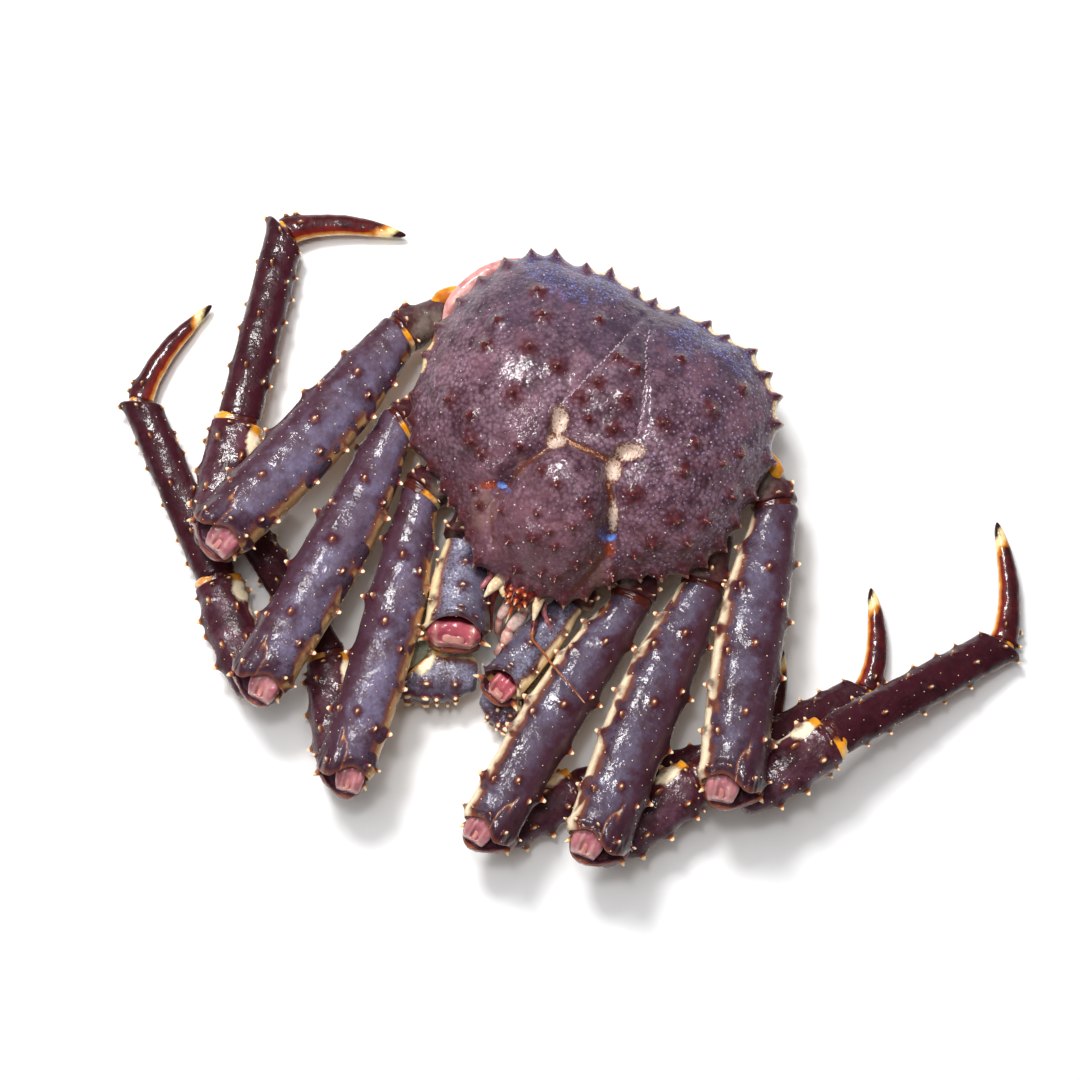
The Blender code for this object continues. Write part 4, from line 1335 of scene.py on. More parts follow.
        def on_top(place: Array, facing: Array) -> Array:
            """Whether each place is on the dome and looks up."""
            return (facing[:, 2] > 0.12) & (place[:, 2] > self.rim_z * MM)

        granules = grow_granules(self.obj, 7.6, (0.24, 0.7), 11, on_top)
        granules = join_pieces([granules, self.lay_sutures()], "carapace_granules")
        place_piece(self.obj, finishes["carapace"], ["carapace"])
        place_piece(granules, finishes["granule"])


# ---- Legs ----

class LegPart(Enum):
    """The pieces of a leg, each with its material slot."""

    ISCHIUM = ("ischium", "upper_leg_shell")
    MERUS = ("merus", "upper_leg_shell")
    CARPUS = ("carpus", "lower_leg_shell")
    PROPODUS = ("propodus", "lower_leg_shell")
    DACTYL = ("dactyl", "lower_leg_shell")
    PALM = ("palm", "palm_shell")
    FINGER = ("finger", "lower_leg_shell")


@dataclass(frozen=True)
class Make:
    """How one piece of a leg is swept and what it carries.

    Rows of thorns are degrees round and how many, spread between two shares of the length. Extra
    small thorns are degrees round and a share of the length. Granules are their mean distance.
    Patches are a kind, share of the length, degrees round, half length and half degrees.
    """

    rows: Rows = ()
    thorn: Thorn = MERUS_THORN
    spread: Pair = (0.12, 0.9)
    sides: int = 20
    squareness: float = 2.3
    ending: Ending = Ending.ROUND
    granules: float = 0.0
    extra: Rows = ()
    patches: Rows = ()


def mitre(previous: Vector, following: Vector) -> Vector:
    """Normal of the plane on which two neighbouring segments meet."""
    return (previous.normalized() + following.normalized()).normalized()


@dataclass
class Leg:
    """What walking legs and claw legs share: coxa end, hip, knee, fold, wrist, ankle and tip."""

    name: str
    joints: tuple[Point, ...]
    half_width: float
    # How much wider the long segment gets to its knee.
    flare: float = 0.0
    coxa_radius: float = 11.5
    ischium_profile: Rows = ((0, 0.9), (0.06, 0.97), (0.15, 1), (0.35, 0.97), (0.6, 0.98), (0.85, 1.05),
                             (0.94, 1.08), (1, 0.98))
    merus_rows: Rows = ((16, 5), (52, 3), (92, 3), (138, 2), (177, 4))
    # Thorns round the knee: degrees round from the body side, and share of the length.
    knee_thorns: Rows = ((12, 0.965), (48, 0.955), (84, 0.962), (125, 0.955), (168, 0.962))
    carpus_rows: Rows = ((0, 3), (62, 2), (110, 2), (175, 3))
    carpus_profile: Rows = (
        (0, 0.45, 0.6), (0.03, 0.58, 0.75), (0.07, 0.68, 0.88), (0.15, 0.78, 0.94), (0.25, 0.86, 0.98),
        (0.37, 0.94, 1.0), (0.5, 1, 1), (0.64, 1.02, 0.99), (0.78, 1.02, 0.97), (0.88, 1.0, 0.94),
        (0.94, 0.99, 0.92), (0.975, 1.03, 0.96), (1, 0.98, 0.92))
    # Height of a segment as a share of its width.
    tallness: float = 0.76
    merus_bow: float = 3.0
    sides: int = 28
    edge_side: int = 1
    carpus_shift: float = 0.0
    # The carpus's dished start beyond the open knee: millimetres along, and its far and its body
    # side as shares of the half width.
    scoop: Rows = (
        (-9, -0.98, 0.78), (-5, -1.02, 0.8), (-1, -1.0, 0.78), (2, -0.88, 0.75), (4.2, -0.72, 0.71),
        (6.6, -0.52, 0.65), (8.6, -0.34, 0.56), (10.4, -0.14, 0.44), (11.4, 0.02, 0.3))
    # Its corner spines: foot and tip as along, share of the half width, and up.
    corners: Sequence[Rows] = (((1, 0.66, -6), (5, 0.86, -5)), ((1, -0.84, -7), (4, -1.0, -6.5)))
    # Patches: kind, share of the length, degrees round, half length as a share, half degrees.
    carpus_patches: Rows = ((0, 0.84, 148, 0.12, 30), (1, 0.97, 165, 0.07, 45), (2, 0.6, 112, 0.13, 30),
                            (0, 0.62, 168, 0.17, 18))

    def __post_init__(self) -> None:
        """Turn the joints to metres and name what is worked out from them."""
        points = [mm(joint) for joint in self.joints]
        self.coxa, self.hip, self.knee, self.fold, self.wrist, self.ankle, self.tip = points
        self.to_hip, self.to_knee, _, self.to_wrist, self.to_ankle, self.to_tip = (
            after - before for before, after in zip(points, points[1:]))
        self.side_sign = 1 if "right" in self.name else -1
        self.slim = self.half_width / 19

    def merus_stations(self, segment: Segment) -> list[Point]:
        """Rings of the long segment, narrow at the hip, full in the middle, lipped at the knee."""
        first, last = segment.first / MM, segment.last / MM
        tall = self.half_width * self.tallness
        stations = []
        for share in (0, 0.01, 0.03, 0.06, *np.linspace(0.1, 0.9, 21), 0.93, 0.955, 0.975, 0.99, 1):
            wide = self.half_width * (0.64 + 0.36 * math.sin(math.pi / 2 * min(1, share / 0.5)))
            wide *= 1 - 0.05 * max(0.0, share - 0.6) / 0.4 + self.flare * share ** 2
            wide *= 0.9 if share == 0 else 1.0
            high = max(tall * wide / self.half_width, tall * 0.8)
            lip = 0.9 * math.exp(-((share - 0.97) / 0.02) ** 2) - 0.8 * (share > 0.98)
            lip += 0.8 * math.exp(-((share - 0.02) / 0.015) ** 2)
            stations.append((first + (last - first) * share, wide + lip, high + lip))
        return stations

    def shell(self, part: LegPart, segment: Segment, stations: Rows, finish: Material,
              make: Make) -> None:
        """Sweep one piece of the leg, raise its thorns, refine, place and dress it.

        Args:
            part: which piece it is.
            segment: its frame.
            stations: its rings.
            finish: its material.
            make: how it is swept and what it carries.
        """
        word, slot = part.value
        node = f"{self.name}_{word}"
        seed = sum(ord(letter) for letter in node)
        obj = sweep(f"{node}_shell", stations, make.sides, make.squareness, make.ending)
        bed = ThornBed()
        length = segment.length / MM
        if make.rows:
            targets, facing = row_targets(stations, length, make.rows, self.side_sign, make.spread)
            draw = np.random.default_rng(seed)
            targets[:, 0] += draw.uniform(-0.018, 0.018, len(targets)) * segment.length
            upper = facing[:, 2] > 0.35
            flank = EDGE_THORN if make.thorn is MERUS_THORN else make.thorn
            for chosen, thorn in ((upper, make.thorn), (~upper, flank)):
                bed.raise_on(obj, nearest_faces(obj, targets[chosen], facing[chosen]), thorn)
        for degrees, share in make.extra:
            targets, facing = row_targets(stations, length, ((degrees, 1),), self.side_sign,
                                          (share * 2, 0.0))
            bed.raise_on(obj, nearest_faces(obj, targets, facing), SMALL_THORN)
        refine(obj)
        largest = max(stations, key=lambda station: station[1])
        paint_limb(obj, segment, largest[1] * MM, largest[2] * MM, self.side_sign * self.edge_side)
        bed.paint(obj)
        if make.patches:
            self.paint_patches(obj, make.patches)
        if make.ending is Ending.SOCKET:
            self.shape_knee(obj, segment)
        put_places(obj, segment.settle(places(obj)))
        roughen(obj, (9.0, 1.0), (2.6, 0.1))
        if make.granules:
            grains = grow_granules(obj, make.granules, (0.3, 0.55), seed,
                                   lambda place, facing: facing[:, 2] > -0.35, 0.9)
            join_pieces([obj, grains])
        place_piece(obj, finish, [node])

    def paint_patches(self, obj: Object, patches: Rows) -> None:
        """Write how strongly each vertex lies in a cream, amber or maroon patch."""
        limb = get_values(obj, "limb")
        degrees = np.degrees(np.arctan2(limb[:, 2], limb[:, 1]))
        mask = np.zeros_like(limb)
        for kind, share, turn, half_length, half_turn in patches:
            far = ((limb[:, 0] - share) / half_length) ** 2 + ((degrees - turn) / half_turn) ** 2
            mask[:, kind] = np.maximum(mask[:, kind], np.exp(-far))
        put_values(obj, "patch", mask)

    def mark_hollow(self, obj: Object, ring: Array, back: Array) -> None:
        """Note which vertices are inside the open knee, where painted shade darkens the shell."""
        limb = get_values(obj, "limb")
        limb[(ring < 0.86) & (back < 8) & (back > -1), 0] = 1.15
        put_values(obj, "limb", limb)

    def shape_knee(self, obj: Object, segment: Segment) -> None:
        """Shape the open end of the merus: an arch over the muscle on the body side, a shiny
        knuckle drawn out on the far side, and the pale crease between them."""
        co = places(obj) / MM
        half = self.half_width * 0.9
        high = self.half_width * self.tallness * 0.9
        back, across, up = segment.last / MM - co[:, 0], self.side_sign * co[:, 1], co[:, 2]
        ring = np.hypot(across / half, up / high)
        self.mark_hollow(obj, ring, back)
        near = ease(-back, -14, 0) * (ring > 0.6)
        upper = ease(up, -2, 5)
        arch = -3.2 * bell(across - 0.32 * half, 0.42 * half) * upper
        knuckle = 4.6 * bell(across + 0.5 * half, 0.4 * half) * upper
        wrinkle = 0.3 * np.sin(across * 1.3 + 0.4 * back) + 0.22 * np.sin(across * 2.9 + 1.7)
        wrinkle *= ease(-across, 0, 4)
        co[:, 0] += near * (arch + knuckle)
        co[:, 2] += near * wrinkle
        far = np.hypot((back - 4.5) / 12.5, (across + 0.42 * half) / (0.34 * half))
        lobe = np.exp(-far ** 4) * (up > 0)
        rim = bell(far - 1.08, 0.13) * (across > -0.42 * half) * (up > 0)
        tail = bell(across + 0.3 * half + 0.08 * back, 0.7)
        tail *= (up > 0) * ease(back, 10, 14) * (1 - ease(back, 21, 26))
        crease = np.clip(rim + tail, 0, 1)
        co[:, 2] += 1.3 * lobe - 1.0 * crease
        put_places(obj, co * MM)
        put_values(obj, "crease", crease)

    def build_ischium(self, finishes: Finishes) -> None:
        """The short segment at the hip."""
        before = Vector((self.coxa.x, self.coxa.y, 0))
        segment = Segment(self.coxa, self.hip, mitre(before, self.to_hip),
                          mitre(self.to_hip, self.to_knee), start_gap=1.0, end_gap=1.0)
        wide = self.coxa_radius * 1.04
        profile = [(share, factor, factor * 0.98) for share, factor in self.ischium_profile]
        self.shell(LegPart.ISCHIUM, segment, segment.rings(profile, wide, wide), finishes["hip"],
                   Make(((160, 1), (100, 1)), EDGE_THORN, (0.5, 0.9), extra=((40, 0.8), (130, 0.8))))

    def build_merus(self, finish: Material) -> Segment:
        """The long thick segment, open at the knee."""
        segment = Segment(self.hip, self.knee, mitre(self.to_hip, self.to_knee),
                          bow=self.side_sign * self.merus_bow, start_gap=1.0)
        make = Make(self.merus_rows, MERUS_THORN, (0.08, 0.92), self.sides, ending=Ending.SOCKET,
                    granules=8.5, extra=self.knee_thorns)
        self.shell(LegPart.MERUS, segment, self.merus_stations(segment), finish, make)
        return segment

    def build_carpus(self, finish: Material, half_width: float) -> None:
        """The segment folded back under the knee."""
        segment = Segment(self.fold, self.wrist, None, mitre(self.to_wrist, self.to_ankle), end_gap=0.6)
        stations = segment.rings(self.carpus_profile, half_width, half_width * self.tallness,
                                 -self.side_sign * self.carpus_shift)
        make = Make(self.carpus_rows, MERUS_THORN, (0.2, 0.88), granules=8.0,
                    extra=((20, 0.92), (75, 0.93), (120, 0.93), (165, 0.92)), patches=self.carpus_patches)
        self.shell(LegPart.CARPUS, segment, stations, finish, make)

    def seat(self, obj: Object, merus: Segment, co: Array, drop: float, shift: float) -> None:
        """Put a piece that was made straight at the knee, lower and nearer to the body side."""
        put_places(obj, np.array(self.knee) + np.outer(co[:, 0], merus.along)
                   + np.outer(co[:, 1] + self.side_sign * shift * MM, merus.side)
                   + np.outer(co[:, 2] - drop * MM, merus.top))

    def build_flesh(self, finishes: Finishes, merus: Segment, muscle: Material, wide: float,
                    high: float, reach: float, drop: float, shift: float, window: float,
                    taper: float) -> None:
        """The raw muscle that stands out of the open knee, hollowed on top round its tendon.

        Args:
            finishes: the crab's finishes.
            merus: the frame of the segment that it stands in.
            muscle: its finish.
            wide: half its width.
            high: half its height.
            reach: how far it stands out.
            drop: how far its middle lies under the middle of the knee.
            shift: how far it lies towards the body.
            window: half width of the tendon as a share of its own.
            taper: width of its end as a share.
        """
        stations = [(-10.0, wide * 0.92, high * 0.95, 0, 0), (-5.0, wide, high, 0, 0)]
        for share, width, height, sink in (
                (0.1, 1, 0.98, 0), (0.4, 0.95, 0.92, 0.4), (0.7, 0.63 + 0.32 * taper, 0.76, 1.4),
                (0.92, 0.27 + 0.68 * taper, 0.6, 2.4), (1, taper, 0.5, 2.8)):
            stations.append((reach * share, wide * width, high * height, 0, -sink))
        node = f"{self.name}_flesh"
        obj = sweep(f"{node}_shell", stations, 32, 3.2)
        refine(obj)
        co = places(obj)
        x, across = co[:, 0] / MM, co[:, 1] / (wide * MM)
        hollow = np.exp(-(across / (window + 0.12)) ** 4) * ease(x, -2, 4)
        hollow *= 1 - ease(x, reach * 0.75, reach * 0.97)
        co[:, 2] -= 3.0 * hollow * MM * (co[:, 2] > 0)
        co[:, 2] += 0.6 * MM * np.sin(across * 7.0 + 1.0) * (co[:, 2] > 0)
        ridge = bell(np.abs(across) - window - 0.24, 0.12)
        put_values(obj, "pale", np.clip(0.3 * ridge + 0.35 * ease(x, reach * 0.7, reach * 0.98), 0, 1))
        # Painted shade: the muscle darkens where it runs back into the knee, and in its hollow next to the
        # shell.
        shade = 0.9 * (1 - ease(x, -6.0, -2.0)) + 0.4 * hollow * (1 - ease(x, 1, 6))
        put_values(obj, "dark", np.clip(shade, 0, 0.9))
        self.seat(obj, merus, co, drop, shift)
        roughen(obj, (3.0, 0.6))
        place_piece(obj, muscle, [node])
        middle = wide * window
        tongue = sweep(f"{self.name}_tendon", [
            (-reach * 0.1, middle * 0.8, 1.0, 0, high - 4.2), (reach * 0.2, middle, 1.5, 0, high - 4.5),
            (reach * 0.65, middle, 1.6, 0, high - 5.4),
            (reach * 0.98, middle * 0.95, 1.2, 0, high - 6.8)], 16, 3.5)
        refine(tongue)
        co = places(tongue)
        put_values(tongue, "pale", 0.2 * ease(co[:, 0] / MM, reach * 0.4, reach * 0.9))
        self.seat(tongue, merus, co, drop, shift)
        roughen(tongue, (2.0, 0.4))
        place_piece(tongue, finishes["tendon"])

    def build_scoop(self, finish: Material, merus: Segment, drop: float, tall: float) -> None:
        """The start of the carpus, which cups the muscle from below, with a glossy lip round it.

        Args:
            finish: its material.
            merus: the frame of the segment above it.
            drop: how far its lip lies under the middle of the knee.
            tall: half its height.
        """
        stations = []
        reach = self.scoop[-1][0]
        for along, far, near in self.scoop:
            high = tall * (1 - 0.6 * float(ease(along, reach * 0.3, reach)))
            lower = 2.2 * float(ease(along, reach * 0.5, reach))
            stations.append((along, (near - far) / 2 * self.half_width, high,
                             self.side_sign * (near + far) / 2 * self.half_width, -drop - high - lower))
        obj = sweep(f"{self.name}_knee_scoop", stations, 28)
        refine(obj)
        co = places(obj) / MM
        table = np.array(stations)
        wide, middle, level = (np.interp(co[:, 0], table[:, 0], table[:, i]) for i in (1, 3, 4))
        across = np.abs(co[:, 1] - middle) / wide
        dish = (1 - ease(across, 0.55, 0.84)) * ease(reach - co[:, 0], 2.2, 6.0) * (co[:, 2] > level)
        co[:, 2] -= 3.0 * dish
        paint_plain(obj, 0.8, 0.5)
        lip = bell(across - 0.92, 0.09) + ease(co[:, 0], reach - 2.4, reach - 1.0)
        put_values(obj, "spine", 0.24 * np.clip(lip, 0, 1) * (co[:, 2] > level))
        self.seat(obj, merus, co * MM, 0.0, 0.0)
        roughen(obj, (5.0, 1.2), (2.2, 0.3))
        spines = []
        for corner in self.corners:
            foot, tip = (self.knee + (merus.along * along + merus.top * up + merus.side
                         * (self.side_sign * share * self.half_width)) * MM for along, share, up in corner)
            middle = foot.lerp(tip, 0.5) + merus.top * 0.4 * MM
            spine = thread("corner_spine", [tuple(point / MM) for point in (foot, middle, tip)],
                           (2.1, 1.4, 0.4), 10)
            put_values(spine, "spine", get_values(spine, "limb")[:, 0] * 0.9)
            spines.append(spine)
        place_piece(join_pieces([obj, *spines]), finish)

    def sleeve(self, where: str, joint: Vector, along: Vector, wide: float, high: float, reach: float,
               finish: Material, slot: str, bulge: float = 1.2, shade: float = 0.85) -> None:
        """A pleated sleeve of joint skin, swollen and bright on the body side, dark elsewhere.

        Args:
            where: the joint's name.
            joint: where the two pieces meet.
            along: direction in which it runs through the joint.
            wide: half width of the sleeve.
            high: half height of the sleeve.
            reach: how far it runs into either piece.
            finish: its material.
            slot: not used.
            bulge: how far it swells out on the body side.
            shade: how dark it is away from the body side, or 2 where it is dark all round, as painted
                shade.
        """
        segment = Segment(joint - along * reach * MM, joint + along * reach * MM)
        pleats = (0.95 * 0.84, 1.0, 0.95, 1.0, 0.95, 1.0, 0.95, 1.0, 0.95 * 0.84)
        obj = sweep(f"{self.name}_{where}_skin", [(2 * reach * i / 8, wide * pleat, high * pleat)
                                                  for i, pleat in enumerate(pleats)], 18, 2.1)
        refine(obj)
        co = places(obj)
        inward = self.side_sign * co[:, 1] / (wide * MM)
        swell = ease(inward, 0.1, 0.8) * bell(co[:, 0] / MM - reach, 0.45 * reach) * bulge * MM
        co[:, 1] += self.side_sign * swell
        co[:, 2] += 0.5 * swell
        put_values(obj, "dark", np.clip(shade - 0.85 * ease(inward, -0.1, 0.5), 0, 0.9))
        put_values(obj, "pale", 0.4 * ease(inward, 0.45, 0.9))
        put_places(obj, segment.settle(co))
        roughen(obj, (4.0, 1.4))
        place_piece(obj, finish)


@dataclass
class WalkingLeg(Leg):
    """One of the six walking legs."""

    carpus_half_width: float = 14.5
    propodus_half_width: float = 12.2
    propodus_rows: Rows = ((0, 5), (75, 3), (140, 3), (180, 5))
    dactyl_half_width: float = 7.3
    dactyl_bow: float = 5.0
    dactyl_shares: tuple[float, ...] = (0, 0.02, 0.05, 0.1, 0.18, 0.28, 0.38, 0.48, 0.58, 0.68, 0.77,
                                        0.85, 0.91, 0.96, 0.985, 1)

    def build_propodus(self, finish: Material) -> None:
        """The long slender segment."""
        segment = Segment(self.wrist, self.ankle, mitre(self.to_wrist, self.to_ankle),
                          mitre(self.to_ankle, self.to_tip), start_gap=0.6, end_gap=0.5)
        first, last = segment.first / MM, segment.last / MM
        half_width = self.propodus_half_width * self.slim
        stations = []
        for share in (0, 0.02, 0.05, *np.linspace(0.1, 0.9, 13), 0.95, 0.985, 1):
            wide, tall = half_width * (1 - 0.08 * share), half_width * 0.74 * (1 - 0.12 * share)
            ends = 0.88 if share in (0, 1) else 1.0
            collar = 0.9 * math.exp(-((share - 0.975) / 0.02) ** 2)
            stations.append((first + (last - first) * share, wide * ends + collar, tall * ends + collar))
        self.shell(LegPart.PROPODUS, segment, stations, finish,
                   Make(self.propodus_rows, SMALL_THORN, (0.06, 0.86), squareness=2.2, granules=8.0,
                        extra=((15, 0.95), (80, 0.96), (150, 0.95))))

    def build_dactyl(self, finish: Material) -> None:
        """The last segment, a curved pointed spike."""
        half_width = self.dactyl_half_width * self.slim
        segment = Segment(self.ankle, self.tip, mitre(self.to_ankle, self.to_tip),
                          bow=self.side_sign * self.dactyl_bow, bow_power=0.85, start_gap=0.5)
        profile = []
        for share in self.dactyl_shares:
            taper = 1 - 0.3 * share - 0.48 * share ** 4
            taper *= {0: 0.88, 0.96: 0.9, 0.985: 0.65, 1: 0.25}.get(share, 1)
            profile.append((share, taper, taper))
        self.shell(LegPart.DACTYL, segment, segment.rings(profile, half_width, half_width * 0.8), finish,
                   Make(((0, 2), (90, 1)), SMALL_THORN, (0.02, 0.2), 16, 2.0))

    def build(self, finishes: Finishes) -> None:
        """Model every piece of the leg and dress it."""
        self.build_ischium(finishes)
        left = self.side_sign < 0
        merus = self.build_merus(finishes["upper_left" if left else "upper_right"])
        width = self.half_width
        self.build_flesh(finishes, merus, finishes["pale_muscle"], width * 0.49, width * 0.45, reach=8.2,
                         drop=1.5, shift=width * 0.24, window=0.17, taper=0.72)
        self.build_scoop(finishes["carpus"], merus, 3.4, 8.0)
        self.build_carpus(finishes["carpus"], self.carpus_half_width * self.slim)
        self.build_propodus(finishes["lower"])
        self.build_dactyl(finishes["dactyl"])
        hip, wrist, skin = self.coxa_radius, self.propodus_half_width * self.slim, finishes["joint_skin"]
        # On the left legs the hip skin is dark all round: painted shade from the carapace's edge that
        # overhangs it.
        self.sleeve("hip", self.hip, mitre(self.to_hip, self.to_knee), hip * 1.01, hip * 0.97, 5.0, skin,
                    "upper_leg_shell", 1.8, 2.0 if left else 0.85)
        self.sleeve("wrist", self.wrist, mitre(self.to_wrist, self.to_ankle), wrist * 0.95, wrist * 0.7,
                    6.5, skin, "lower_leg_shell", 3.0)
        self.sleeve("ankle", self.ankle, mitre(self.to_ankle, self.to_tip), 6.0 * self.slim,
                    5.2 * self.slim, 4.0, skin, "lower_leg_shell")


@dataclass
class ClawLeg(Leg):
    """One of the two claw legs, folded back under its arm."""

    flare: float = 0.16
    flesh_width: float = 0.98
    flesh_shift: float = 0.0
    merus_rows: Rows = ((30, 2), (85, 3), (135, 2))
    carpus_rows: Rows = ((0, 5), (40, 4), (75, 2))
    palm_profile: Rows = (
        (0, 0.75, 0.8), (0.05, 0.9, 0.93), (0.15, 1, 1), (0.32, 1.04, 1.02), (0.5, 1.05, 1),
        (0.68, 0.97, 0.94), (0.85, 0.85, 0.85), (0.95, 0.72, 0.72), (1, 0.6, 0.6))
    merus_bow: float = 0.0
    sides: int = 24
    edge_side: int = -1
    carpus_shift: float = 3.5
    scoop: Rows = ((-8, -0.98, 0.98), (-4, -1.02, 1.02), (-1, -1.0, 1.0), (2, -0.95, 0.95),
                   (4.4, -0.85, 0.85), (6.2, -0.66, 0.66), (7.4, -0.42, 0.42), (8, -0.2, 0.2))
    corners: Sequence[Rows] = (((1, 0.86, -5), (4, 1.35, -4)), ((1, -0.86, -5), (4, -1.35, -4)))
    carpus_patches: Rows = ((0, 0.82, 48, 0.2, 48), (1, 0.62, 26, 0.1, 25), (1, 0.98, 60, 0.06, 40))

    def shape_knee(self, obj: Object, segment: Segment) -> None:
        """Arch the open end back over the muscle, and mark its hollow for painted shade."""
        co = places(obj) / MM
        across = co[:, 1] / (self.half_width * 0.95)
        back = segment.last / MM - co[:, 0]
        self.mark_hollow(obj, np.hypot(across, co[:, 2] / (self.half_width * 0.69)), back)
        co[:, 0] -= 6.0 * ease(-back, -16, 0) * np.clip(1 - across ** 2, 0, 1) * ease(co[:, 2], -3, 5)
        put_places(obj, co * MM)

    def build_palm(self, finish: Material) -> None:
        """The swollen hand."""
        half_width = self.half_width * 0.86
        segment = Segment(self.wrist, self.ankle, mitre(self.to_wrist, self.to_ankle),
                          mitre(self.to_ankle, self.to_tip))
        stations = segment.rings(self.palm_profile, half_width, half_width * 0.68)
        self.shell(LegPart.PALM, segment, stations, finish, Make(granules=5.0))

    def build_finger(self, finish: Material) -> None:
        """The moving finger."""
        half_width = self.half_width * 0.45
        segment = Segment(self.ankle, self.tip, mitre(self.to_ankle, self.to_tip),
                          bow=self.side_sign * 2.0, bow_power=0.85)
        profile = []
        for share in (0, 0.04, 0.12, 0.26, 0.42, 0.58, 0.74, 0.87, 0.95, 1):
            taper = (1 - 0.25 * share - 0.62 * share ** 5) * {0: 0.88, 1: 0.3}.get(share, 1)
            profile.append((share, taper, taper))
        self.shell(LegPart.FINGER, segment, segment.rings(profile, half_width, half_width * 0.8), finish,
                   Make(sides=14, squareness=2.0))

    def build(self, finishes: Finishes) -> None:
        """Model every piece of the claw leg and dress it."""
        self.build_ischium(finishes)
        merus = self.build_merus(finishes["claw"])
        width = self.half_width
        self.build_flesh(finishes, merus, finishes["muscle"], width * self.flesh_width, width * 0.5,
                         reach=6.0, drop=1.0, shift=self.flesh_shift, window=0.42, taper=0.6)
        self.build_scoop(finishes["carpus"], merus, 4.0, 6.0)
        self.build_carpus(finishes["claw"], width * 0.98)
        self.build_palm(finishes["palm"])
        self.build_finger(finishes["lower"])
        self.sleeve("wrist", self.wrist, mitre(self.to_wrist, self.to_ankle), width * 0.66, width * 0.52,
                    5.0, finishes["joint_skin"], "palm_shell")


# ---- Trunk ----

@dataclass
class Trunk:
    """The body under the carapace with its leg roots, and the tail folded under it."""

    carapace: Carapace
    legs: Sequence[Leg]
    # Height over the table, and size as a share of the carapace's outline.
    levels: Rows = ((0, 0.36), (5, 0.46), (16, 0.57), (28, 0.66), (38, 0.78), (45, 0.86))
    belly_centre_y: float = -4.0
    sides: int = 48
    root_profile: Rows = ((0, 0.8, 0.8), (0.5, 1, 1), (0.8, 1.05, 1), (0.94, 1.08, 1), (1, 0.98, 0.92))
    # The tail: half sizes, centre, and how far over the table it starts.
    tail_size: Point = (46, 32, 21)
    tail_place: Point = (0, 50, 23)
    tail_floor: float = 2.0

    def outline(self, scale: float, z: float) -> Array:
        """Ring of points on the rim's outline, scaled, at one height (mm)."""
        angle = 2 * math.pi * (np.arange(self.sides) + 0.5) / self.sides
        radius = self.carapace.rim_radius(angle) * scale
        shift = self.belly_centre_y * (1 - z / self.levels[-1][0])
        return np.stack([radius * np.cos(angle), radius * np.sin(angle) + shift,
                         np.full(self.sides, z)], axis=1) * MM

    def build_trunk(self) -> Object:
        """Extrude the flat belly up and out to the carapace's underside."""
        deselect_all()
        bpy.ops.mesh.primitive_circle_add(vertices=self.sides, radius=MM, fill_type="NGON")
        obj = take_new("trunk_shell")
        put_places(obj, self.outline(self.levels[0][1], 0.0))
        pick_faces(obj, [0])
        for z, scale in self.levels[1:]:
            extrude((0, 0, 5 * MM))
            edit_mode(False)
            co = places(obj)
            face = next(p for p in obj.data.polygons if p.select)
            ring = self.outline(scale, z)
            co[list(face.vertices)] = ring[[v % self.sides for v in range(self.sides)]]
            put_places(obj, co)
            edit_mode()
        face_outwards(obj)
        return obj

    def build_root(self, leg: Leg) -> Object:
        """One leg's root, from inside the trunk to the joint with the ischium."""
        inner = Vector((leg.coxa.x * 0.6, leg.coxa.y * 0.6, leg.coxa.z))
        segment = Segment(inner, leg.coxa, None, mitre(leg.coxa - inner, leg.to_hip), end_gap=1.0)
        obj = sweep("leg_root", segment.rings(self.root_profile, leg.coxa_radius, leg.coxa_radius), 20)
        put_places(obj, segment.settle(places(obj)))
        return obj

    def build_abdomen(self, finish: Material) -> None:
        """The tail folded under the rear of the body, in overlapping plates."""
        deselect_all()
        bpy.ops.mesh.primitive_uv_sphere_add(segments=40, ring_count=28, radius=1,
                                             rotation=(math.pi / 2, 0, 0))
        obj = take_new("abdomen_shell")
        bpy.ops.object.transform_apply(location=True, rotation=True, scale=True)
        co = places(obj)
        plates = np.abs(np.sin(co[:, 1] * math.pi * 3.5))
        co *= (1 - 0.05 * (1 - plates) ** 3)[:, None]
        co = co * np.array(self.tail_size) + np.array(self.tail_place)
        co[:, 2] = np.maximum(co[:, 2], self.tail_floor)
        put_places(obj, co * MM)
        face_outwards(obj)
        refine(obj, 1)
        paint_plain(obj, 0.5, 0.3)
        roughen(obj, (5.0, 0.8))
        place_piece(obj, finish, ["abdomen"])

    def build(self, finishes: Finishes) -> None:
        """Model the trunk and the tail and dress them."""
        trunk = join_pieces([self.build_trunk(), *(self.build_root(leg) for leg in self.legs)])
        apply_modifier(trunk, "REMESH", mode="VOXEL", voxel_size=1.7 * MM)
        apply_modifier(trunk, "SMOOTH", factor=0.5, iterations=6)
        paint_plain(trunk, 0.5, 0.3)
        roughen(trunk, (6.0, 0.9))
        co = places(trunk)
        co[:, 2] = np.maximum(co[:, 2], 0.0)
        put_places(trunk, co)
        place_piece(trunk, finishes["belly"], ["body"])
        self.build_abdomen(finishes["belly"])


# ---- Threads: feelers, jaw legs and strips of skin ----

@dataclass(frozen=True)
class Thread:
    """A rod along a smooth path: its points, its radii there, and how much wider than high.

    It narrows by its knuckle at each point. Where it names a node, it stands for that solid.
    """

    name: str
    points: tuple[Point, ...]
    radii: tuple[float, ...]
    slot: str
    finish: str
    wide: float = 1.0
    knuckle: float = 0.0
    node: str = ""

    def build(self, finishes: Finishes) -> None:
        """Model the rod and dress it."""
        obj = thread(f"{self.name}_shell", self.points, self.radii, 12, self.wide, self.knuckle)
        roughen(obj, (2.5, 0.25 * max(self.radii) ** 0.5))
        place_piece(obj, finishes[self.finish], [self.node] if self.node else [])


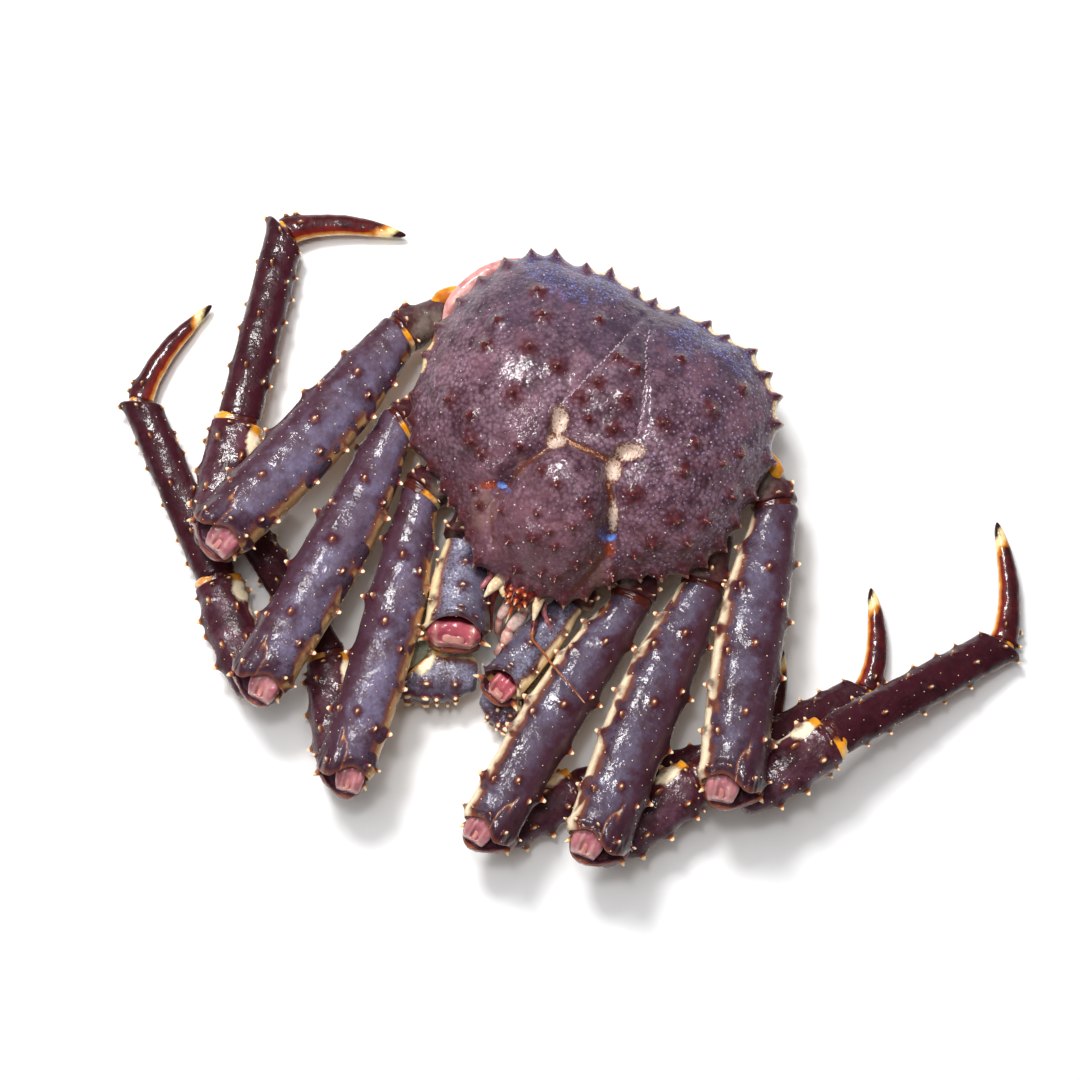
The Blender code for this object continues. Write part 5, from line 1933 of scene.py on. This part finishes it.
FEELER, MOUTH, WEB = "feeler_shell", "mouth_shell", ("upper_leg_shell", "joint_skin")
THREADS = (
    Thread("antenna_base_left",
           ((13, -76, 40), (15, -88, 41), (17.5, -97, 42), (19, -102, 43), (20, -107, 44)),
           (2.2, 2.6, 2.3, 1.9, 1.2), FEELER, "feeler", knuckle=0.2),
    Thread("antenna_left", ((19, -104, 43.5), (21, -108, 46), (28, -112, 51), (38, -118, 56),
                            (50, -124, 60), (62, -130, 62)),
           (0.9, 0.9, 0.8, 0.7, 0.55, 0.35), FEELER, "whip", node="antenna_left"),
    Thread("antenna_right", ((-10, -78, 38), (-9, -90, 38), (-8, -98, 36), (-5, -105, 32), (-2, -112, 26)),
           (2.2, 2.6, 2, 1.0, 0.5), FEELER, "feeler", knuckle=0.15, node="antenna_right"),
    Thread("scale_left", ((14, -78, 46), (15, -84, 47), (16, -91, 47), (17.5, -99, 45)),
           (2.4, 2.9, 2.4, 0.5), FEELER, "scale", 1.2, node="scale_left"),
    Thread("scale_right", ((-7, -78, 44.5), (-8, -84, 45), (-10.5, -91, 45), (-12.5, -98, 43.5)),
           (2.4, 3.0, 2.5, 0.5), FEELER, "scale", 1.25, node="scale_right"),
    Thread("maxilliped_left", ((6, -62, 27), (7, -80, 31), (10, -96, 33), (7, -107, 31), (7, -115, 28),
                               (5, -122, 22)),
           (4, 4.6, 4.0, 3.8, 3.5, 2.2), MOUTH, "mouth", knuckle=0.3, node="maxilliped_left"),
    Thread("maxilliped_right",
           ((-4, -62, 27), (-2, -82, 31), (0, -94, 31), (-1, -103, 27), (1, -111, 20)),
           (4, 4.2, 3.6, 3.0, 1.8), MOUTH, "mouth", knuckle=0.3, node="maxilliped_right"),
    Thread("barb_right", ((-14, -84, 42), (-16, -93, 43), (-18, -98, 42), (-19.5, -102, 41)),
           (1.8, 1.7, 1.1, 0.25), FEELER, "barb"),
    Thread("barb_left", ((18, -86, 40), (21, -92, 40), (25, -96, 39.5), (29.5, -99, 38.5)),
           (1.8, 1.7, 1.1, 0.25), FEELER, "barb"),
    Thread("jaw_plate", ((-8, -85, 42), (-6, -88, 43), (-3, -91, 42.5), (0, -93, 41)),
           (1.2, 2.2, 2.2, 0.8), MOUTH, "scale", 1.3),
    Thread("gill_cover_edge", ((-71, 84, 45), (-80, 77, 45.5), (-88, 68, 45), (-94, 57, 44.5),
                               (-98, 44, 44), (-97, 32, 43)),
           (1.5, 3.0, 3.8, 3.8, 3.0, 1.2), "carapace_shell", "pink_skin", 1.3),
    Thread("hip_web_right_rear", ((-92, 55, 38), (-100, 52, 38), (-106, 47, 36), (-108, 38, 33)),
           (3.0, 4.2, 4.0, 2.5), *WEB, 1.2),
    Thread("hip_web_right_middle", ((-84, 6, 34), (-88, -4, 36), (-90, -14, 34), (-89, -24, 32)),
           (2.0, 3.6, 3.6, 2.4), *WEB, 1.2),
    Thread("hip_web_right_front",
           ((-78, -26, 34), (-72, -34, 37), (-64, -38, 38), (-58, -44, 38), (-52, -52, 36)),
           (2.4, 4.2, 4.6, 4.4, 2.6), *WEB, 1.4),
    Thread("hip_web_left_rear", ((92, 42, 34), (99, 38, 37), (104, 34, 38), (106, 26, 36)),
           (2.4, 4.0, 4.0, 2.2), *WEB, 1.2),
    Thread("hip_web_left_middle", ((82, -20, 32), (88, -26, 35), (92, -30, 33)), (2.4, 3.6, 2.2),
           *WEB, 1.2),
    Thread("hip_web_left_front", ((50, -46, 32), (56, -52, 35), (60, -56, 33)), (2.4, 3.6, 2.2),
           *WEB, 1.2),
)


@dataclass
class Mouth:
    """The spiny orange-red mass under the rostrum and the thorns beside it."""

    # Thorns: foot x, y, z, direction x, y, z, length.
    teeth: Rows = (
        (1, -91, 53, -0.4, -1, 0.3, 4), (5, -93, 54, 0.0, -1, 0.4, 4.5), (9, -92, 52, 0.6, -1, 0.2, 4),
        (2, -94, 50, -0.5, -1, 0.0, 4), (7, -94, 49, 0.3, -1, 0.0, 4.5), (4, -94, 47, 0.0, -1, -0.45, 13),
        (10, -92, 47, 0.6, -1, -0.2, 4), (-1, -91, 48, -0.7, -1, 0, 4), (4, -89, 56, 0.0, -0.7, 0.9, 3),
        (8, -89, 54, 0.3, -0.6, 0.9, 2.5), (0, -89, 54, -0.4, -0.6, 0.9, 2.5))
    # Lumps that the thorns stand on: centre x, y, z, radius.
    lumps: Rows = (
        (4, -88, 50, 5.6), (0, -88, 48.5, 4.4), (8.5, -88, 49, 4.6), (4, -92, 48, 4.4),
        (8, -91.5, 47, 3.8), (1, -91, 47, 3.6), (6, -86, 52, 3.6))
    # Rings of a thorn before it is stretched to its length.
    tooth: Rows = ((0, 1.9, 1.9, 0, 0), (1.5, 1.7, 1.7, 0, 0), (4, 1.1, 1.1, 0, 0.1),
                   (7, 0.6, 0.6, 0, 0.3), (9.4, 0.25, 0.25, 0, 0.6), (10, 0.1, 0.1, 0, 0.7))

    def build(self, finishes: Finishes) -> None:
        """Copy one thorn and one lump, each modelled once, to every place."""
        tall = self.tooth[-1][0]
        thorn = sweep("rostrum_thorn", self.tooth, 10, 2.0)
        refine(thorn, 1)
        shape = places(thorn)
        put_values(thorn, "spine", np.clip(shape[:, 0] / (tall * MM), 0, 1) * 0.8)
        deselect_all()
        bpy.ops.mesh.primitive_ico_sphere_add(subdivisions=4, radius=MM)
        lump = bpy.context.object
        pieces = [self.copy(lump, places(lump) * radius + np.array(mm(centre)))
                  for *centre, radius in self.lumps]
        for *numbers, length in self.teeth:
            foot, aim = mm(numbers[:3]), Vector(numbers[3:]).normalized()
            stretched = shape * np.array([length / tall, 1, 1])
            pieces.append(self.copy(thorn, Segment(foot, foot + aim).carry(stretched)))
        for model in (thorn, lump):
            bpy.data.objects.remove(model)
        mass = join_pieces(pieces, "rostrum_thorns")
        paint_plain(mass, 0.5, 0.5)
        roughen(mass, (2.2, 0.7))
        place_piece(mass, finishes["rostrum"])

    def copy(self, model: Object, co: Array) -> Object:
        """Copy an object with a mesh of its own, and move its vertices to these rows."""
        piece = model.copy()
        piece.data = model.data.copy()
        bpy.context.scene.collection.objects.link(piece)
        put_places(piece, co)
        return piece


# ---- Studio ----

@dataclass
class Studio:
    """Pale floor, soft light and the camera that looks down on the crab. Sizes are metres."""

    camera_place: Point = (0.09683, -0.26429, 1.33934)
    camera_right: Point = (0.910, 0.4147, 0.0)
    camera_up: Point = (-0.4084, 0.8962, 0.1736)
    lens: float = 80.0  # millimetres, like the sensor
    sensor: float = 36.0
    floor_half: float = 3.0
    floor_flat: float = 1.8  # radius within which the floor is level
    # Lights: name, place, side, watts, and whether they show in the wet film.
    lights: tuple[tuple[str, Point, float, float, bool], ...] = (
        ("key", (-0.72, 0.52, 1.6), 0.36, 23, True), ("main", (-0.5, 0.3, 1.8), 1.8, 26, False),
        ("top", (-0.2, 0.0, 1.8), 0.2, 6, True), ("front", (-0.5, -1.3, 1.1), 0.15, 3, True))
    sky: float = 0.07

    def build_floor(self) -> None:
        """A wide pale sheet that curves up at its far edges."""
        deselect_all()
        bpy.ops.mesh.primitive_grid_add(x_subdivisions=24, y_subdivisions=24, size=2 * self.floor_half)
        floor = take_new("floor")
        co = places(floor)
        far = np.maximum(0, np.hypot(co[:, 0], co[:, 1]) - self.floor_flat)
        co[:, 2] = -0.0003 + far ** 2 * 0.3
        put_places(floor, co)
        floor.data.shade_smooth()
        paper = Paint("white backdrop paper", "#f6f6f6")
        fibre = paper.add("TexNoise", size=1.5, Detail=3)
        floor.data.materials.append(paper.finish(fibre, 0.1, 0.05, Roughness=0.8))

    def hang_light(self, name: str, place: Point, size: float, power: float, glints: bool) -> None:
        """Hang one square soft light that looks at the crab."""
        data = bpy.data.lights.new(name, "AREA")
        data.shape, data.size, data.energy = "SQUARE", size, power
        lamp = bpy.data.objects.new(name, data)
        lamp.location = place
        lamp.visible_glossy = glints
        lamp.rotation_mode = "QUATERNION"
        lamp.rotation_quaternion = Vector(place).to_track_quat("Z", "Y")
        bpy.context.scene.collection.objects.link(lamp)

    def build(self) -> None:
        """Set the floor, the lights, the sky and the camera."""
        self.build_floor()
        for light in self.lights:
            self.hang_light(*light)
        scene = bpy.context.scene
        scene.world = bpy.data.worlds.new("studio")
        scene.world.use_nodes = True
        background = scene.world.node_tree.nodes["Background"]
        background.inputs["Color"].default_value = (1, 1, 1, 1)
        background.inputs["Strength"].default_value = self.sky
        data = bpy.data.cameras.new("camera")
        data.lens, data.sensor_width = self.lens, self.sensor
        scene.camera = bpy.data.objects.new("camera", data)
        scene.collection.objects.link(scene.camera)
        right, up = Vector(self.camera_right).normalized(), Vector(self.camera_up).normalized()
        turn = Matrix((right, up, right.cross(up))).transposed().to_4x4()
        turn.translation = Vector(self.camera_place)
        scene.camera.matrix_world = turn
        scene.view_settings.view_transform = "Standard"


# ---- The whole crab ----

# Joints in order: coxa end, hip, knee, carpus start, wrist, ankle, tip; then the merus's half width.
WALKING_LEGS = {
    "leg_right_rear": (((-101, 41, 28), (-119, 20, 32), (-157, -128, 60), (-163, -135, 34.5),
                        (-181, -63, 25), (-208, 52, 10.5), (-145, 80, 6)), 19),
    "leg_right_middle": (((-80, -17, 28), (-98, -27, 29), (-104, -191, 50), (-108, -198, 21),
                          (-155, -147, 12.5), (-240, -73, 10), (-229, -4, 6)), 17.6),
    "leg_right_front": (((-60, -44, 28), (-70, -57, 28), (-41, -217, 46), (-44, -224, 19),
                         (-80, -160, 13), (-160, -108, 9.5), (-164, -57, 7)), 16.3),
    "leg_left_rear": (((94, 33, 28), (113, 16, 32), (151, -138, 58.5), (159, -143, 35),
                       (190, -90, 41.5), (259, 2, 10.5), (230, 66, 6)), 18.8),
    "leg_left_middle": (((88, -15, 28), (94, -41, 30), (98, -195, 52), (101, -201, 24),
                         (134, -139, 28), (200, -54, 10), (180, 2, 6)), 18.5),
    "leg_left_front": (((56, -40, 28), (61.5, -63, 28), (42, -213, 46), (44, -218, 17.5),
                        (76, -169, 9.5), (156, -111, 7.4), (149, -51, 5.5)), 16.5),
}
# The same, then how much wider the merus gets to its knee, and the muscle's width and shift there.
CLAW_LEGS = {
    "claw_right": (((-37, -58, 26), (-36.5, -73, 28), (-19, -123, 42), (2, -139, 18), (-34, -152, 17),
                    (-48, -110, 10), (-60, -76, 8)), 15.4, 0.16, 0.98, 0.0),
    "claw_left": (((29, -60, 26), (31, -79, 27), (15.5, -138, 38), (7, -147, 15), (34, -146, 14),
                   (40, -108, 9.5), (44, -78, 8)), 11.6, 0.1, 0.64, -1.5),
}


def main() -> None:
    """Build the crab piece by piece, then the studio, and note the sizes."""
    logging.basicConfig(level=logging.INFO, format="%(message)s")
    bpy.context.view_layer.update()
    finishes = {name: finish.build() for name, finish in FINISHES.items()}
    carapace = Carapace()
    carapace.build(finishes)
    legs = [WalkingLeg(name, *sizes) for name, sizes in WALKING_LEGS.items()]
    legs += [ClawLeg(name, joints, width, flare, flesh_width=muscle, flesh_shift=shift)
             for name, (joints, width, flare, muscle, shift) in CLAW_LEGS.items()]
    Trunk(carapace, legs).build(finishes)
    for piece in (*legs, *THREADS, Mouth()):
        piece.build(finishes)
    Studio().build()


if __name__ == "__main__":
    main()
